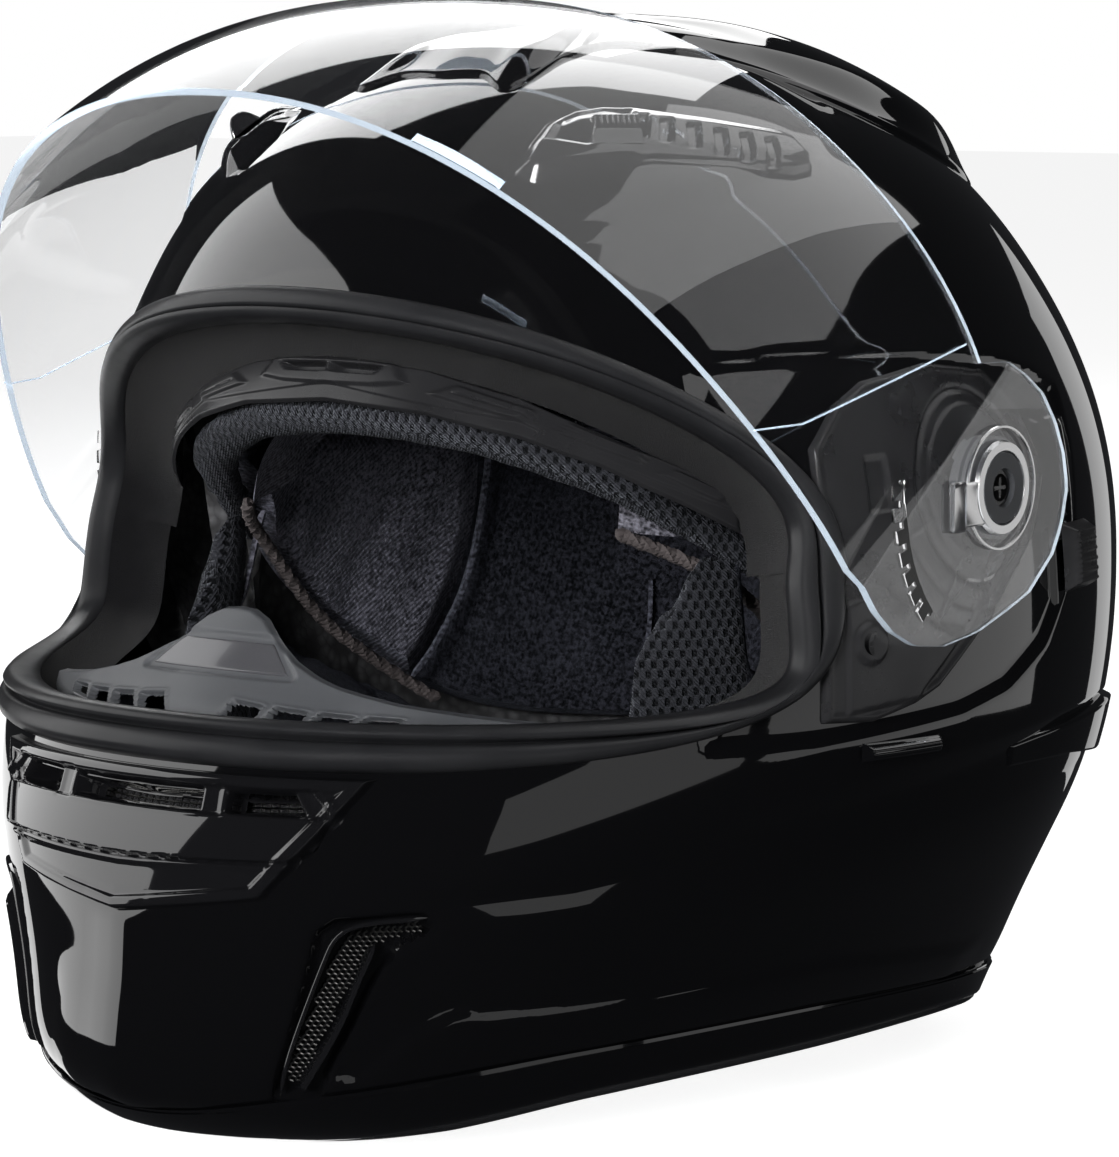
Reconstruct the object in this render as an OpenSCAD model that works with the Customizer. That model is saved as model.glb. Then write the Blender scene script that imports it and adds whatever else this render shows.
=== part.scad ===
// Full-face motorcycle helmet, shield raised.
// +Z is up, -Y is the front (the face), +X is the wearer's left.
// The origin is under the middle of the whole helmet, on the surface it stands on.

/* [Shell] */
// Half length of the shell in front of its centre, at the chin bar
front_r = 182; // [178:1:186]
// Half width of the shell at its widest
side_r = 131; // [128:1:133]
// Half length of the shell behind its centre, at its longest
back_r = 162; // [158:1:166]
// Height of the crown over the lower rim datum
crown_z = 268; // [265:1:271]
// Wall thickness of the shell
shell_t = 4; // [3:0.5:4.5]
// Number of columns round the shell
columns = 60; // [48:12:60]

/* [Eyeport] */
// Half angle of the opening, seen from the shell's centre
port_half = 61; // [58:1:63]
// Height of the opening's top edge at the middle
port_top = 194; // [190:1:196]
// Height of the opening's bottom edge
port_bottom = 103; // [101:1:106]
// Drop of the top edge towards the sides
port_drop = 37; // [30:1:40]
// Width of the rubber gasket outside the opening's edge
gasket_w = 12; // [10:0.5:13]

/* [Shield] */
// Distance of the shield's lower edge in front of the pivots
shield_reach = 174; // [172:0.5:176]
// Half width over the shield's arms
shield_side = 137.2; // [136.6:0.1:138]
// Sheet thickness of the shield
shield_t = 2.2; // [1.8:0.1:2.4]
// Height of the pivots over the lower rim datum
pivot_z = 154; // [153:1:155]
// Place of the pivots along the helmet
pivot_y = 5; // [4:1:6]
// Angle by which the shield stands open
open_angle = 51; // [45:1:53]
// Radius of the pivot boss that the shield turns on
boss_r = 9; // [8:0.5:10]

/* [Sun visor] */
// Radius of the visor's outer face at the middle, about its pivots
visor_r = 112.5; // [111:0.5:113]
// Half width of the visor
visor_half = 98; // [96:1:100]

/* [Hidden] */
$fn = 48;
running = 0.06;               // radial clearance of a running fit
rim_h = 7;                    // height of the rim datum over the ground
y_shift = 2.54;               // moves the helmet so that the origin is under its middle
eq_z = 125;                   // height of the shell's waist over the datum
half_h = crown_z - eq_z;      // height of the dome over the waist
dome_p = 2.1;                 // exponent of the dome's profile
row_dz = 29;                  // spacing of the rows below
centre_y = 10;                // centre of the horizontal sections
// Radii of the shell towards front, side and back, row by row from the datum up
rows = [
    [front_r - 15, side_r - 44, back_r - 62],
    [front_r - 4, side_r - 25, back_r - 47],
    [front_r, side_r - 8, back_r - 30],
    [front_r - 6, side_r - 1, back_r - 12],
    [front_r - 22, side_r, back_r - 3],
    [front_r - 39, side_r - 2, back_r],
    [front_r - 51, side_r - 9, back_r - 7],
    [front_r - 62, side_r - 23, back_r - 24],
    [front_r - 80, side_r - 40, back_r - 52]
];

// ---- Shell surface ----

// Narrowing of a section at height z, 1 at the waist and 0 at the crown
function dome(z) = pow(max(1 - pow(abs((z - eq_z) / half_h), dome_p), 1e-6), 1 / dome_p);
unrolled = [for (i = [0 : len(rows) - 1]) rows[i] / dome(i * row_dz)];
function row(i) = i < 0 ? 2 * unrolled[0] - unrolled[1] : unrolled[min(i, len(rows) - 1)];
// Smooth radii [front, side, back] at height z
function radii(z) =
    let (t = max(z, 0) / row_dz, i = floor(t), f = t - i, g = 1 - f)
    dome(z) / 6 * (g * g * g * row(i - 1) + (3 * f * f * f - 6 * f * f + 4) * row(i)
        + (3 * g * g * g - 6 * g * g + 4) * row(i + 1) + f * f * f * row(i + 2));
// Point of the surface at angle u (0 is the front, + is the wearer's left)
function skin0(u, z) =
    let (r = radii(z), c = (1 + cos(u)) / 2, k = c * c * (3 - 2 * c),
         a = r[2] + (r[0] - r[2]) * k,
         n = 2.15 + (min(z / 116, 1) * 0.15 - 0.2) * k,
         d = pow(pow(abs(cos(u)) / a, n) + pow(abs(sin(u)) / r[1], n), -1 / n))
    [d * sin(u), centre_y - d * cos(u) + y_shift, z + rim_h];
function unit(v) = v / norm(v);
function normal(u, z) =
    let (e = 0.3, zz = min(z, crown_z - 1))
    unit(cross(skin0(u + e, zz) - skin0(u - e, zz), skin0(u, zz + e) - skin0(u, zz - e)));
// The same point moved out by o millimetres
function skin(u, z, o = 0) = o == 0 ? skin0(u, z) : skin0(u, z) + o * normal(u, z);
// The same point moved out level
function level(u, z, o) =
    let (n = normal(u, z), h = unit([n[0], n[1], 0])) skin0(u, z) + o * h;
// Height of a point of the profile at angle w over the waist
function rise(w) = eq_z + half_h * sin(w);
function fall(z) = asin((z - eq_z) / half_h);
// Value at x on straight lines through hand-set points [[x, value], ...]
function along(t, x, i = 0) =
    i >= len(t) - 1 || x <= t[0][0] ? t[min(i, len(t) - 1)][1]
    : x <= t[i + 1][0]
        ? t[i][1] + (t[i + 1][1] - t[i][1]) * (x - t[i][0]) / (t[i + 1][0] - t[i][0])
        : along(t, x, i + 1);
// Slope of the smooth curve through the points at point i, level at both ends
function slope(t, i) = i <= 0 || i >= len(t) - 1 ? 0
    : (t[i + 1][1] - t[i - 1][1]) / (t[i + 1][0] - t[i - 1][0]);
// Value at x on the smooth curve through the points
function curve(t, x, i = 0) =
    i >= len(t) - 1 || x <= t[0][0] ? t[min(i, len(t) - 1)][1]
    : x > t[i + 1][0] ? curve(t, x, i + 1)
    : let (w = t[i + 1][0] - t[i][0], f = (x - t[i][0]) / w, g = 1 - f)
        g * g * (1 + 2 * f) * t[i][1] + f * f * (3 - 2 * f) * t[i + 1][1]
        + w * f * g * (g * slope(t, i) - f * slope(t, i + 1));

// Bottom of the edge trim, rim of the shell and top of the edge trim, by angle
lip_low = [[0, -7], [9, -7], [22, -1], [38, 6], [70, 9], [110, 8], [140, -1], [165, -7], [180, -7]];
lip_high = [[0, 7], [16, 13], [37, 20], [70, 22], [116, 18], [150, 12], [180, 9]];
lip_flare = [[0, 7], [20, 6], [50, 4], [120, 4], [160, 6], [180, 6]];
function rim(u) = max(curve(lip_low, abs(u)), -rim_h) + 5.5;

// ---- Solids from grids of points ----

// Closed solid between an outer and an inner grid of points; loop joins the last row to the first
module slab(outer, inner, loop = false) {
    n = len(outer);
    m = len(outer[0]);
    base = n * m;
    last = loop ? n - 1 : n - 2;
    function at(i, j) = (i % n) * m + j;
    sides = [for (i = [0 : last], j = [0 : m - 2]) each [
        [at(i, j), at(i + 1, j + 1), at(i + 1, j)], [at(i, j), at(i, j + 1), at(i + 1, j + 1)],
        [base + at(i, j), base + at(i + 1, j), base + at(i + 1, j + 1)],
        [base + at(i, j), base + at(i + 1, j + 1), base + at(i, j + 1)]]];
    edges = [for (i = [0 : last]) each [
        [at(i, 0), at(i + 1, 0), base + at(i + 1, 0)], [at(i, 0), base + at(i + 1, 0), base + at(i, 0)],
        [at(i + 1, m - 1), at(i, m - 1), base + at(i, m - 1)],
        [at(i + 1, m - 1), base + at(i, m - 1), base + at(i + 1, m - 1)]]];
    ends = loop ? [] : [for (j = [0 : m - 2]) each [
        [at(0, j + 1), at(0, j), base + at(0, j)], [at(0, j + 1), base + at(0, j), base + at(0, j + 1)],
        [at(n - 1, j), at(n - 1, j + 1), base + at(n - 1, j + 1)],
        [at(n - 1, j), base + at(n - 1, j + 1), base + at(n - 1, j)]]];
    polyhedron(concat([for (r = outer) each r], [for (r = inner) each r]), concat(sides, edges, ends));
}

// Closed tube through rings of equal length; loop joins the last ring to the first
module sweep(rings, loop = false) {
    n = len(rings);
    m = len(rings[0]);
    function at(i, j) = (i % n) * m + j % m;
    last = loop ? n - 1 : n - 2;
    walls = [for (i = [0 : last], j = [0 : m - 1]) each [
        [at(i, j), at(i + 1, j + 1), at(i + 1, j)], [at(i, j), at(i, j + 1), at(i + 1, j + 1)]]];
    ends = loop ? [] : [
        [for (j = [m - 1 : -1 : 0]) at(0, j)], [for (j = [0 : m - 1]) at(n - 1, j)]];
    polyhedron([for (r = rings) each r], concat(walls, ends));
}

// Evenly spaced values from a to b
function steps(a, b, n) = [for (i = [0 : n]) a + (b - a) * i / n];

// Plate that follows the shell between angles a and b, from low to high, offsets inner to outer
module plate(a, b, low, high, inner, outer, nu = 12, nz = 6) {
    function z_at(u, t) = along(low, u) * (1 - t) + along(high, u) * t;
    slab([for (u = steps(a, b, nu)) [for (t = steps(0, 1, nz)) skin(u, z_at(u, t), outer)]],
         [for (u = steps(a, b, nu)) [for (t = steps(0, 1, nz)) skin(u, z_at(u, t), inner)]]);
}

// Pillow on the shell: like plate, but domed to the height h at its middle
module pillow(a, b, low, high, base, h, nu = 12, nz = 6) {
    function z_at(u, t) = along(low, u) * (1 - t) + along(high, u) * t;
    function swell(f, t) = base + 0.8 + (h - 0.8) * pow(sin(180 * f) * sin(180 * t), 0.6);
    slab([for (f = steps(0, 1, nu)) [for (t = steps(0, 1, nz))
            skin(a + (b - a) * f, z_at(a + (b - a) * f, t), swell(f, t))]],
         [for (f = steps(0, 1, nu)) [for (t = steps(0, 1, nz))
            skin(a + (b - a) * f, z_at(a + (b - a) * f, t), base)]]);
}

// Dome from the line edge(u) over the crown, between the offsets inner and outer
module cap(edge, inner, outer, nu = 40, nz = 10) {
    function ring_z(u, t) = rise(fall(curve(edge, abs(u))) * (1 - t) + 88 * t);
    us = [for (i = [0 : nu - 1]) -180 + 360 * i / nu];
    ts = steps(0, 1, nz);
    o = [for (u = us) [for (t = ts) skin(u, ring_z(u, t), outer)]];
    n = [for (u = us) [for (t = ts) skin(u, ring_z(u, t), inner)]];
    m = nz + 1;
    base = nu * m;
    top = [0, centre_y + y_shift, rim_h + crown_z];
    function at(i, j) = (i % nu) * m + j;
    faces = [for (i = [0 : nu - 1], j = [0 : nz - 1]) each [
        [at(i, j), at(i + 1, j + 1), at(i + 1, j)], [at(i, j), at(i, j + 1), at(i + 1, j + 1)],
        [base + at(i, j), base + at(i + 1, j), base + at(i + 1, j + 1)],
        [base + at(i, j), base + at(i + 1, j + 1), base + at(i, j + 1)]]];
    edges = [for (i = [0 : nu - 1]) each [
        [at(i, 0), at(i + 1, 0), base + at(i + 1, 0)], [at(i, 0), base + at(i + 1, 0), base + at(i, 0)],
        [at(i, nz), 2 * base, at(i + 1, nz)],
        [base + at(i, nz), base + at(i + 1, nz), 2 * base + 1]]];
    polyhedron(concat([for (r = o) each r], [for (r = n) each r],
        [top + [0, 0, outer], top + [0, 0, inner]]), concat(faces, edges));
}

// ---- Eyeport ----

// Point [u, z] of the opening's outline in direction w, grown by g millimetres
function port(w, g = 0) =
    let (p = 3.2, r = pow(pow(abs(cos(w)), p) + pow(abs(sin(w)), p), -1 / p),
         u = (port_half + g / 1.9) * r * cos(w),
         top = port_top - port_drop * pow(u / 66, 2),
         mid = (top + port_bottom) / 2)
    [u, mid + ((top - port_bottom) / 2 + g) * r * sin(w)];
// Point in the section of the gasket: a millimetres outwards in the surface, b off it
function port_frame(w, a, b) =
    let (q = port(w), q1 = port(w - 1), q2 = port(w + 1),
         n = normal(q[0], q[1]),
         t = unit(skin0(q2[0], q2[1]) - skin0(q1[0], q1[1])),
         g = cross(t, n))
    skin0(q[0], q[1]) + a * g + b * n;
// Solid that fills the opening grown by g, from deep inside to well outside
module port_cutter(g = 0, n = 60) {
    ws = [for (i = [0 : n - 1]) 360 * i / n];
    outside = [for (w = ws) let (q = port(w, g)) skin(q[0], q[1], 14)];
    inside = [for (w = ws) let (q = port(w, g)) skin(q[0], q[1], -14)];
    far = [0, -420, rim_h + 150];
    near = [0, 0, rim_h + 150];
    polyhedron(concat(outside, inside, [far, near]), [for (i = [0 : n - 1]) let (k = (i + 1) % n) each [
        [i, n + k, n + i], [i, k, n + k], [k, i, 2 * n], [n + i, n + k, 2 * n + 1]]]);
}

// Rounded bar along the shell between two places, in n straight pieces; used for slots and ribs
module bar(a, b, r, inner, outer, n = 1) {
    for (i = [0 : n - 1]) {
        hull() for (f = [i, i + 1], o = [inner, outer]) {
            q = a + (b - a) * f / n;
            translate(skin(q[0], q[1], o)) sphere(r, $fn = 8);
        }
    }
}

// ---- Shell group ----

chin_slots = [[-15, -9], [-6.5, 6.5], [9, 15]];
chin_low = [[-20, 90], [-12, 62], [0, 56], [12, 62], [20, 90]];
chin_high = [[-20, 92.5], [20, 92.5]];

module outer_shell() {
    us = [for (i = [0 : columns - 1]) -180 + 360 * i / columns];
    color("black") difference() {
        cap([for (u = [0 : 6 : 180]) [u, rim(u)]], -shell_t, 0, columns, 18);
        port_cutter();
        // Opening behind the chin vent, and the two side chin vents
        for (z = [77, 82]) {
            bar([-13, z], [13, z], 7, -shell_t - 4, 3, 4);
        }
        for (s = [-1, 1]) {
            bar([s * 21, 46], [s * 18, 33], 3, -shell_t - 4, 3);
            // Forehead intake under each housing, and rear exhaust under the spoiler
            bar([s * 40, 242], [s * 48, 242], 3, -shell_t - 4, 3);
            bar([s * 158, 214], [s * 166, 214], 4, -shell_t - 4, 3);
        }
        // Slot for the sun visor's cable
        bar([109, 128], [109, 160], 1.5, -shell_t - 3, 3);
    }
}

module lower_edge_trim() {
    section = function (u) let (
        low = max(curve(lip_low, abs(u)), -rim_h),
        high = curve(lip_high, abs(u)),
        flare = curve(lip_flare, abs(u)),
        edge = rim(u)) [
        skin(u, edge - 0.1, 0.05), skin(u, edge - 0.1, -shell_t - 0.1),
        skin(u, low + 11, -shell_t - 0.1), skin(u, low + 11, -9), level(u, low, -7),
        level(u, low, flare - 2), level(u, low + 3, flare), level(u, high, 1.6), level(u, high, 0.05)];
    color("black") sweep([for (i = [0 : columns - 1]) section(-180 + 360 * i / columns)], true);
}

module eyeport_gasket() {
    // The beads stand lower along the brow, where the closed shield lies close to the shell
    section = function (w) let (h = 3.2 - 0.9 * sin(w)) [
        [0.1, -shell_t - 0.1], [0.1, 0.3], [gasket_w, 0.3], [gasket_w - 1, h], [5, h - 1.6], [0, h + 0.3],
        [-4.5, h - 1.4], [-5, -8.5], [0.5, -8.5]];
    color("dimgray") sweep([for (i = [0 : 71]) let (w = 5 * i)
        [for (q = section(w)) port_frame(w, q[0], q[1])]], true);
}

module chin_vent_cover() {
    color("black") difference() {
        union() {
            pillow(-20, 20, chin_low, chin_high, 0.1, 4, 16, 8);
            // Hood over the gate and the two ridges at its ends
            bar([-14, 71], [14, 71], 1, 3, 4, 5);
            bar([-14, 71], [-16, 80], 0.8, 3, 3.6);
            bar([14, 71], [16, 80], 0.8, 3, 3.6);
            bar([-17, 90], [17, 90], 0.8, 3, 3.6, 5);
        }
        for (s = chin_slots) {
            bar([s[0] + 1, 84], [s[1] - 1, 84], 2.4, -6, 8, 2);
        }
    }
}

gate_low = [[-13, 71.5], [13, 71.5]];
gate_high = [[-13, 78.5], [13, 78.5]];
module chin_vent_gate() {
    color("dimgray") plate(-12, 12, gate_low, gate_high, -3.4, -1.6, 10, 2);
}

module chin_vent_filter() {
    color("gray") plate(-13, 13, [[-13, 69], [13, 69]], [[-13, 88], [13, 88]], -9.5, -7.5, 10, 2);
}

// Side chin vent: an L-shaped frame, its mesh and the blade in front of it (s = 1 is the left)
function side_span(s, a, b) = s > 0 ? [a, b] : [-b, -a];
function mirrored(t, s) = s > 0 ? t : [for (i = [len(t) - 1 : -1 : 0]) [-t[i][0], t[i][1]]];
frame_low = [[12.5, 14.5], [15, 22], [19, 37], [22, 49], [24.5, 52.5]];
frame_high = [[12.5, 18], [15, 34], [17.5, 52], [19, 55.5], [24.5, 57]];
module side_vent_frame(s) {
    r = side_span(s, 12.5, 24.5);
    color("black") plate(r[0], r[1], mirrored(frame_low, s), mirrored(frame_high, s), 0.1, 0.8, 12, 4);
}
mesh_low = [[14.5, 24], [17, 30], [20, 45], [22, 52], [23.5, 53]];
mesh_high = [[14.5, 25], [17, 45], [18.5, 53], [20, 55], [23.5, 56]];
module side_vent_mesh(s) {
    r = side_span(s, 14.5, 23.5);
    color("silver") plate(r[0], r[1], mirrored(mesh_low, s), mirrored(mesh_high, s), 0.85, 1.6, 10, 3);
}
blade_low = [[13.5, 12], [17, 27], [20, 47], [21, 51]];
blade_high = [[13.5, 14], [15, 23], [18.5, 44], [21, 52]];
module side_vent_blade(s) {
    r = side_span(s, 13.5, 21);
    color("black") plate(r[0], r[1], mirrored(blade_low, s), mirrored(blade_high, s), 1.65, 4.2, 10, 2);
}

module breath_deflector() {
    low = [[-46, 97], [46, 97]];
    high = [[-46, 99], [-30, 102], [-14, 110], [-8, 125], [8, 125], [14, 110], [30, 102], [46, 99]];
    color("gray") plate(-46, 46, low, high, -13, -10.5, 30, 3);
}

module deflector_badge() {
    low = [[-8, 114], [8, 114]];
    high = [[-8, 116], [-5, 123], [5, 123], [8, 116]];
    color("silver") plate(-8, 8, low, high, -10.4, -9.4, 10, 2);
}

vent_low = [[26, 237], [34, 231], [55, 229], [70, 229], [78, 237]];
vent_high = [[26, 239], [36, 247], [46, 250], [60, 248], [78, 241]];
module forehead_vent(s) {
    r = side_span(s, 26, 78);
    color("black") pillow(r[0], r[1], mirrored(vent_low, s), mirrored(vent_high, s), 0.1, 6, 14, 6);
}

module forehead_vent_slider(s) {
    r = side_span(s, 38, 47);
    low = [[-90, 236], [90, 236]];
    high = [[-90, 243], [90, 243]];
    color("dimgray") pillow(r[0], r[1], low, high, 6.8, 2.4, 6, 4);
}

fairing_edge = [[0, 251], [30, 255], [60, 259], [90, 255], [120, 242], [150, 228], [180, 222]];
module crown_fairing() {
    color("black") cap(fairing_edge, 0.9, 5.5, 36, 5);
}

module rear_exhaust_grille() {
    low = [[152, 203], [208, 203]];
    high = [[152, 218], [180, 220], [208, 218]];
    color("dimgray") plate(152, 208, low, high, 0.2, 3, 12, 2);
}

wing_low = [[96, 79], [112, 78], [126, 75], [131, 78]];
wing_high = [[96, 86], [112, 89], [124, 91], [131, 89]];
module wing_block(s) {
    r = side_span(s, 96, 131);
    color("black") pillow(r[0], r[1], mirrored(wing_low, s), mirrored(wing_high, s), 0.1, 3.2, 10, 4);
}

// ---- Shield group ----

pin_y = pivot_y + y_shift;
pin_z = pivot_z + rim_h;
shield_bulge_z = 64;          // height at which the shield reaches furthest forward
shield_arc = 196;             // radius of the shield's profile at the middle
shield_side_arc = 210;        // radius of its profile at the sides, seen from the front
crown_in = 1.6;               // how far the rounded front stands inside the arms
shield_n = 2.18;              // exponent of its level sections
arm_start = 78;               // angle at which the flat arm takes over
// Distance in front of the pivots at height z
function reach(z, o) = shield_reach + 2 + o - shield_arc
    + sqrt(shield_arc * shield_arc - pow(z - shield_bulge_z, 2));
// Half width at height z; the arms are flat, the front is rounded over
function half_width(u, z, o) =
    let (k = max(0, min(1, (arm_start - abs(u)) / 30)), s = k * k * (3 - 2 * k),
         arc = shield_side_arc - sqrt(shield_side_arc * shield_side_arc - pow(z - pivot_z, 2)))
    shield_side + o - s * (crown_in + arc * (z > pivot_z ? 1 : 0.2));
// Point of the closed shield's outer face
function closed_front(u, z, o) =
    let (w = half_width(u, z, o),
         r = pow(pow(abs(cos(u)) / reach(z, o), shield_n) + pow(abs(sin(u)) / w, shield_n), -1 / shield_n))
    [r * sin(u), pin_y - r * cos(u), z + rim_h];
function closed_arm(s, y, z, o) = [s * (shield_side + o), pin_y + y, z + rim_h];
// Turn about the pivots by the opening angle
function opened(p) =
    let (y = p[1] - pin_y, z = p[2] - pin_z)
    [p[0], pin_y + y * cos(open_angle) + z * sin(open_angle),
        pin_z - y * sin(open_angle) + z * cos(open_angle)];
function shield_low(u) = 101 - 5 * pow(u / 66, 2);
function shield_high(u) = 197 - 20 * pow(u / 66, 2);
// Outline of the arm behind the front part: [distance behind the pivot, low, high]
arm_outline = [[-22, -59, 23], [-14, -59, 27], [-5, -57, 30], [5, -52, 30], [14, -43, 28],
    [22, -30, 24], [28, -15, 16], [31, -6, 8]];
module shield_sheet() {
    nu = 32;
    nt = 7;
    function column(p_low, p_high, f) = [for (t = steps(0, 1, nt)) opened(f(p_low + (p_high - p_low) * t))];
    arm = function (s, a, o) column(pivot_z + a[1], pivot_z + a[2], function (z) closed_arm(s, a[0], z, o));
    front = function (u, o) column(shield_low(u), shield_high(u), function (z) closed_front(u, z, o));
    grid = function (o) concat(
        [for (i = [len(arm_outline) - 1 : -1 : 0]) arm(-1, arm_outline[i], o)],
        [for (u = steps(-arm_start, arm_start, nu)) front(u, o)],
        [for (a = arm_outline) arm(1, a, o)]);
    slab(grid(0), grid(-shield_t));
}
module shield() {
    color("lightblue", 0.5) difference() {
        shield_sheet();
        for (s = [-1, 1]) {
            translate([s * shield_side, pin_y, pin_z]) rotate([0, 90, 0])
                cylinder(h = 4 * shield_t, r = boss_r + running, center = true);
        }
    }
}

rack_r = 43;                  // radius of the row of detent teeth about the pivot
rack_t = 1.2;
// Row of seven teeth on the inner face of each arm, ahead of the pivot
module shield_rack(s) {
    pitch = 7.2;
    first = -41;              // direction of the lowest tooth, up from straight ahead
    x = shield_side - shield_t - rack_t;
    color("lightblue", 0.6) translate([s > 0 ? x : -x - rack_t, pin_y, pin_z])
        rotate([0, 90, 0]) linear_extrude(rack_t) for (i = [0 : 6]) {
            rotate(-90 - first - pitch * i) {
                translate([rack_r - 2.6, -3.1]) square([1.6, 6.2]);
                translate([rack_r - 1.2, -1.8]) square([3.4, 3.6]);
            }
        }
}

plate_low = [[62, 99], [70, 96], [82, 99], [90, 114], [98, 134], [104, 150]];
plate_high = [[62, 165], [70, 181], [84, 185], [96, 182], [104, 160]];
module shield_base_plate(s) {
    r = side_span(s, 66, 103);
    color("dimgray") plate(r[0], r[1], mirrored(plate_low, s), mirrored(plate_high, s), 0.1, 1.9, 12, 8);
}

// Pivot boss: a flange on the base plate and the drum that the shield turns on
boss_base = skin(88, pivot_z, 1.8)[0];
flange_top = shield_side - shield_t - 0.4;
boss_top = shield_side + 1.2;
module shield_pivot(s) {
    color("silver") translate([0, pin_y, pin_z]) rotate([0, s * 90, 0]) difference() {
        union() {
            translate([0, 0, boss_base]) cylinder(h = flange_top - boss_base, r = boss_r + 4);
            translate([0, 0, boss_base]) cylinder(h = boss_top - boss_base, r = boss_r);
        }
        translate([0, 0, boss_top - 2.4]) cylinder(h = 4, r = 5);
    }
}

// Cross-head screw with its axis along X
module screw(x, y, z, s, head, stem) {
    translate([0, y, z]) rotate([0, s * 90, 0]) difference() {
        union() {
            translate([0, 0, x - stem]) cylinder(h = stem, r = head * 0.45);
            translate([0, 0, x]) cylinder(h = 1.2, r1 = head, r2 = head * 0.8);
        }
        for (a = [0, 90]) {
            rotate(a) translate([-head * 0.6, -0.5, x + 0.5]) cube([head * 1.2, 1, 2]);
        }
    }
}
module pivot_screw(s) {
    color("silver") screw(boss_top - 2.4, pin_y, pin_z, s, 4.4, 0.6);
}
module plate_screw(s) {
    q = skin(69, 118, 2.2);
    color("silver") screw(q[0], q[1], q[2], s, 3.6, 1.2);
}

module release_lever(s) {
    r = side_span(s, 68, 80);
    low = [[-90, 88], [90, 88]];
    high = [[-90, 94], [90, 94]];
    color("dimgray") pillow(r[0], r[1], low, high, 0.4, 4.5, 6, 4);
}

// ---- Sun visor group ----

visor_y = pin_y;
visor_z = pin_z - 4;
visor_t = 2;
visor_edge = 118;             // half width at which the visor's surface of turning closes
// Radius of the visor's outer face at the distance x from the middle
function visor_profile(x) = visor_r * pow(1 - pow(abs(x) / visor_edge, 2.2), 1 / 2.2);
visor_start = 22;             // direction of the stored visor's lower edge, up from straight ahead
visor_span = 42;              // angle that it covers at the middle
module sun_visor() {
    angles = function (x) let (f = abs(x) / visor_half)
        [visor_start + 9 * pow(f, 4), visor_start + visor_span - 26 * pow(f, 4)];
    point = function (x, a, t) let (r = visor_profile(x) - t)
        [x, visor_y - r * cos(a), visor_z + r * sin(a)];
    grid = function (t) [for (x = steps(-visor_half, visor_half, 20))
        let (a = angles(x)) [for (b = steps(a[0], a[1], 7)) point(x, b, t)]];
    color("#303438") slab(grid(0), grid(visor_t));
}

// Arm from the visor's side down to its pivot
arm_t = 2;
arm_x = visor_half + 0.5;
module visor_arm(s) {
    r = visor_profile(visor_half) - 10;
    color("dimgray") translate([s > 0 ? arm_x : -arm_x - arm_t, visor_y, visor_z]) difference() {
        hull() for (q = [[0, 8], [r, 6]]) {
            translate([0, -q[0] * cos(38), q[0] * sin(38)]) rotate([0, 90, 0])
                cylinder(h = arm_t, r = q[1], $fn = 32);
        }
        rotate([0, 90, 0]) cylinder(h = 20, r = 3 + running, center = true);
    }
}
module visor_pivot(s) {
    color("silver") translate([0, visor_y, visor_z]) rotate([0, s * 90, 0]) {
        translate([0, 0, arm_x - 2]) cylinder(h = 1.6, r = 5);
        translate([0, 0, arm_x - 1]) cylinder(h = arm_t + 6, r = 3);
    }
}

// Space that the sun visor and its arms turn through
module visor_room() {
    inside = arm_x - 3;
    outside = visor_edge - 2;
    low = -60;
    high = 70;
    translate([0, visor_y, visor_z]) rotate([0, 90, 0]) {
        rotate(-90 - high) rotate_extrude(angle = high - low, $fn = 48) polygon([
            for (x = steps(-outside, outside, 16)) [visor_profile(x) + 14, x], [0, outside], [0, inside],
            for (x = steps(inside, -inside, 14)) [visor_profile(x) - visor_t - 2, x],
            [0, -inside], [0, -outside]]);
        for (z = [-outside, inside]) {
            translate([0, 0, z]) cylinder(h = outside - inside, r = 15, $fn = 32);
        }
    }
}

slider_low = [[0, 123], [180, 123]];
slider_high = [[0, 141], [180, 141]];
module visor_slider() {
    color("dimgray") pillow(105.5, 113, slider_low, slider_high, 2.4, 4.3, 6, 6);
}
module visor_slider_bezel() {
    color("black") plate(104, 114.5, [[0, 118], [180, 118]], [[0, 169], [180, 169]], 0.1, 0.8, 6, 8);
}

// ---- Inside ----

eps_t = 25;                   // thickness of the impact liner
eps_in = -shell_t - 1 - eps_t;
liner_gap = 5.6;              // room between the impact liner and the soft linings
eps_edge = [[0, 197], [30, 193], [50, 187], [62, 178], [68, 150], [72, 60], [90, 42], [180, 42]];
module eps_liner() {
    color("#202020") difference() {
        cap(eps_edge, eps_in, -shell_t - 0.6, 36, 9);
        visor_room();
        // Air channels from the forehead to the back, in the outer face
        for (s = [-1, 1], q = [[92, 236], [113, 230], [134, 218], [152, 200]]) {
            bar([s * q[0], q[1]], [s * (q[0] + 18), q[1] - 8], 3, -shell_t - 2, 0);
        }
    }
}

module chin_eps() {
    color("#202020") plate(-52, 52, [[-52, 24], [52, 24]], [[-52, 92], [52, 92]], -24, -10, 20, 4);
}

brow_low = [[-46, 178], [0, 186], [46, 178]];
brow_high = [[-46, 186], [0, 195.5], [46, 186]];
module brow_trim() {
    color("#181818") plate(-46, 46, brow_low, brow_high, -26, -22.5, 20, 2);
}
module brow_pad() {
    low = [[-46, 162], [0, 174], [46, 162]];
    high = [[-46, 177], [0, 185], [46, 177]];
    color("#202024") plate(-46, 46, low, high, -42, -25, 20, 4);
}

liner_edge = [[0, 187], [45, 179], [60, 162], [72, 134], [84, 111], [98, 90], [114, 66], [135, 54],
    [180, 52]];
liner_t = 8.4;                // thickness of the soft linings of the crown
pad_edge = 222;               // height of the edge of the separate pad over the head
pad_gap = 2;
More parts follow.
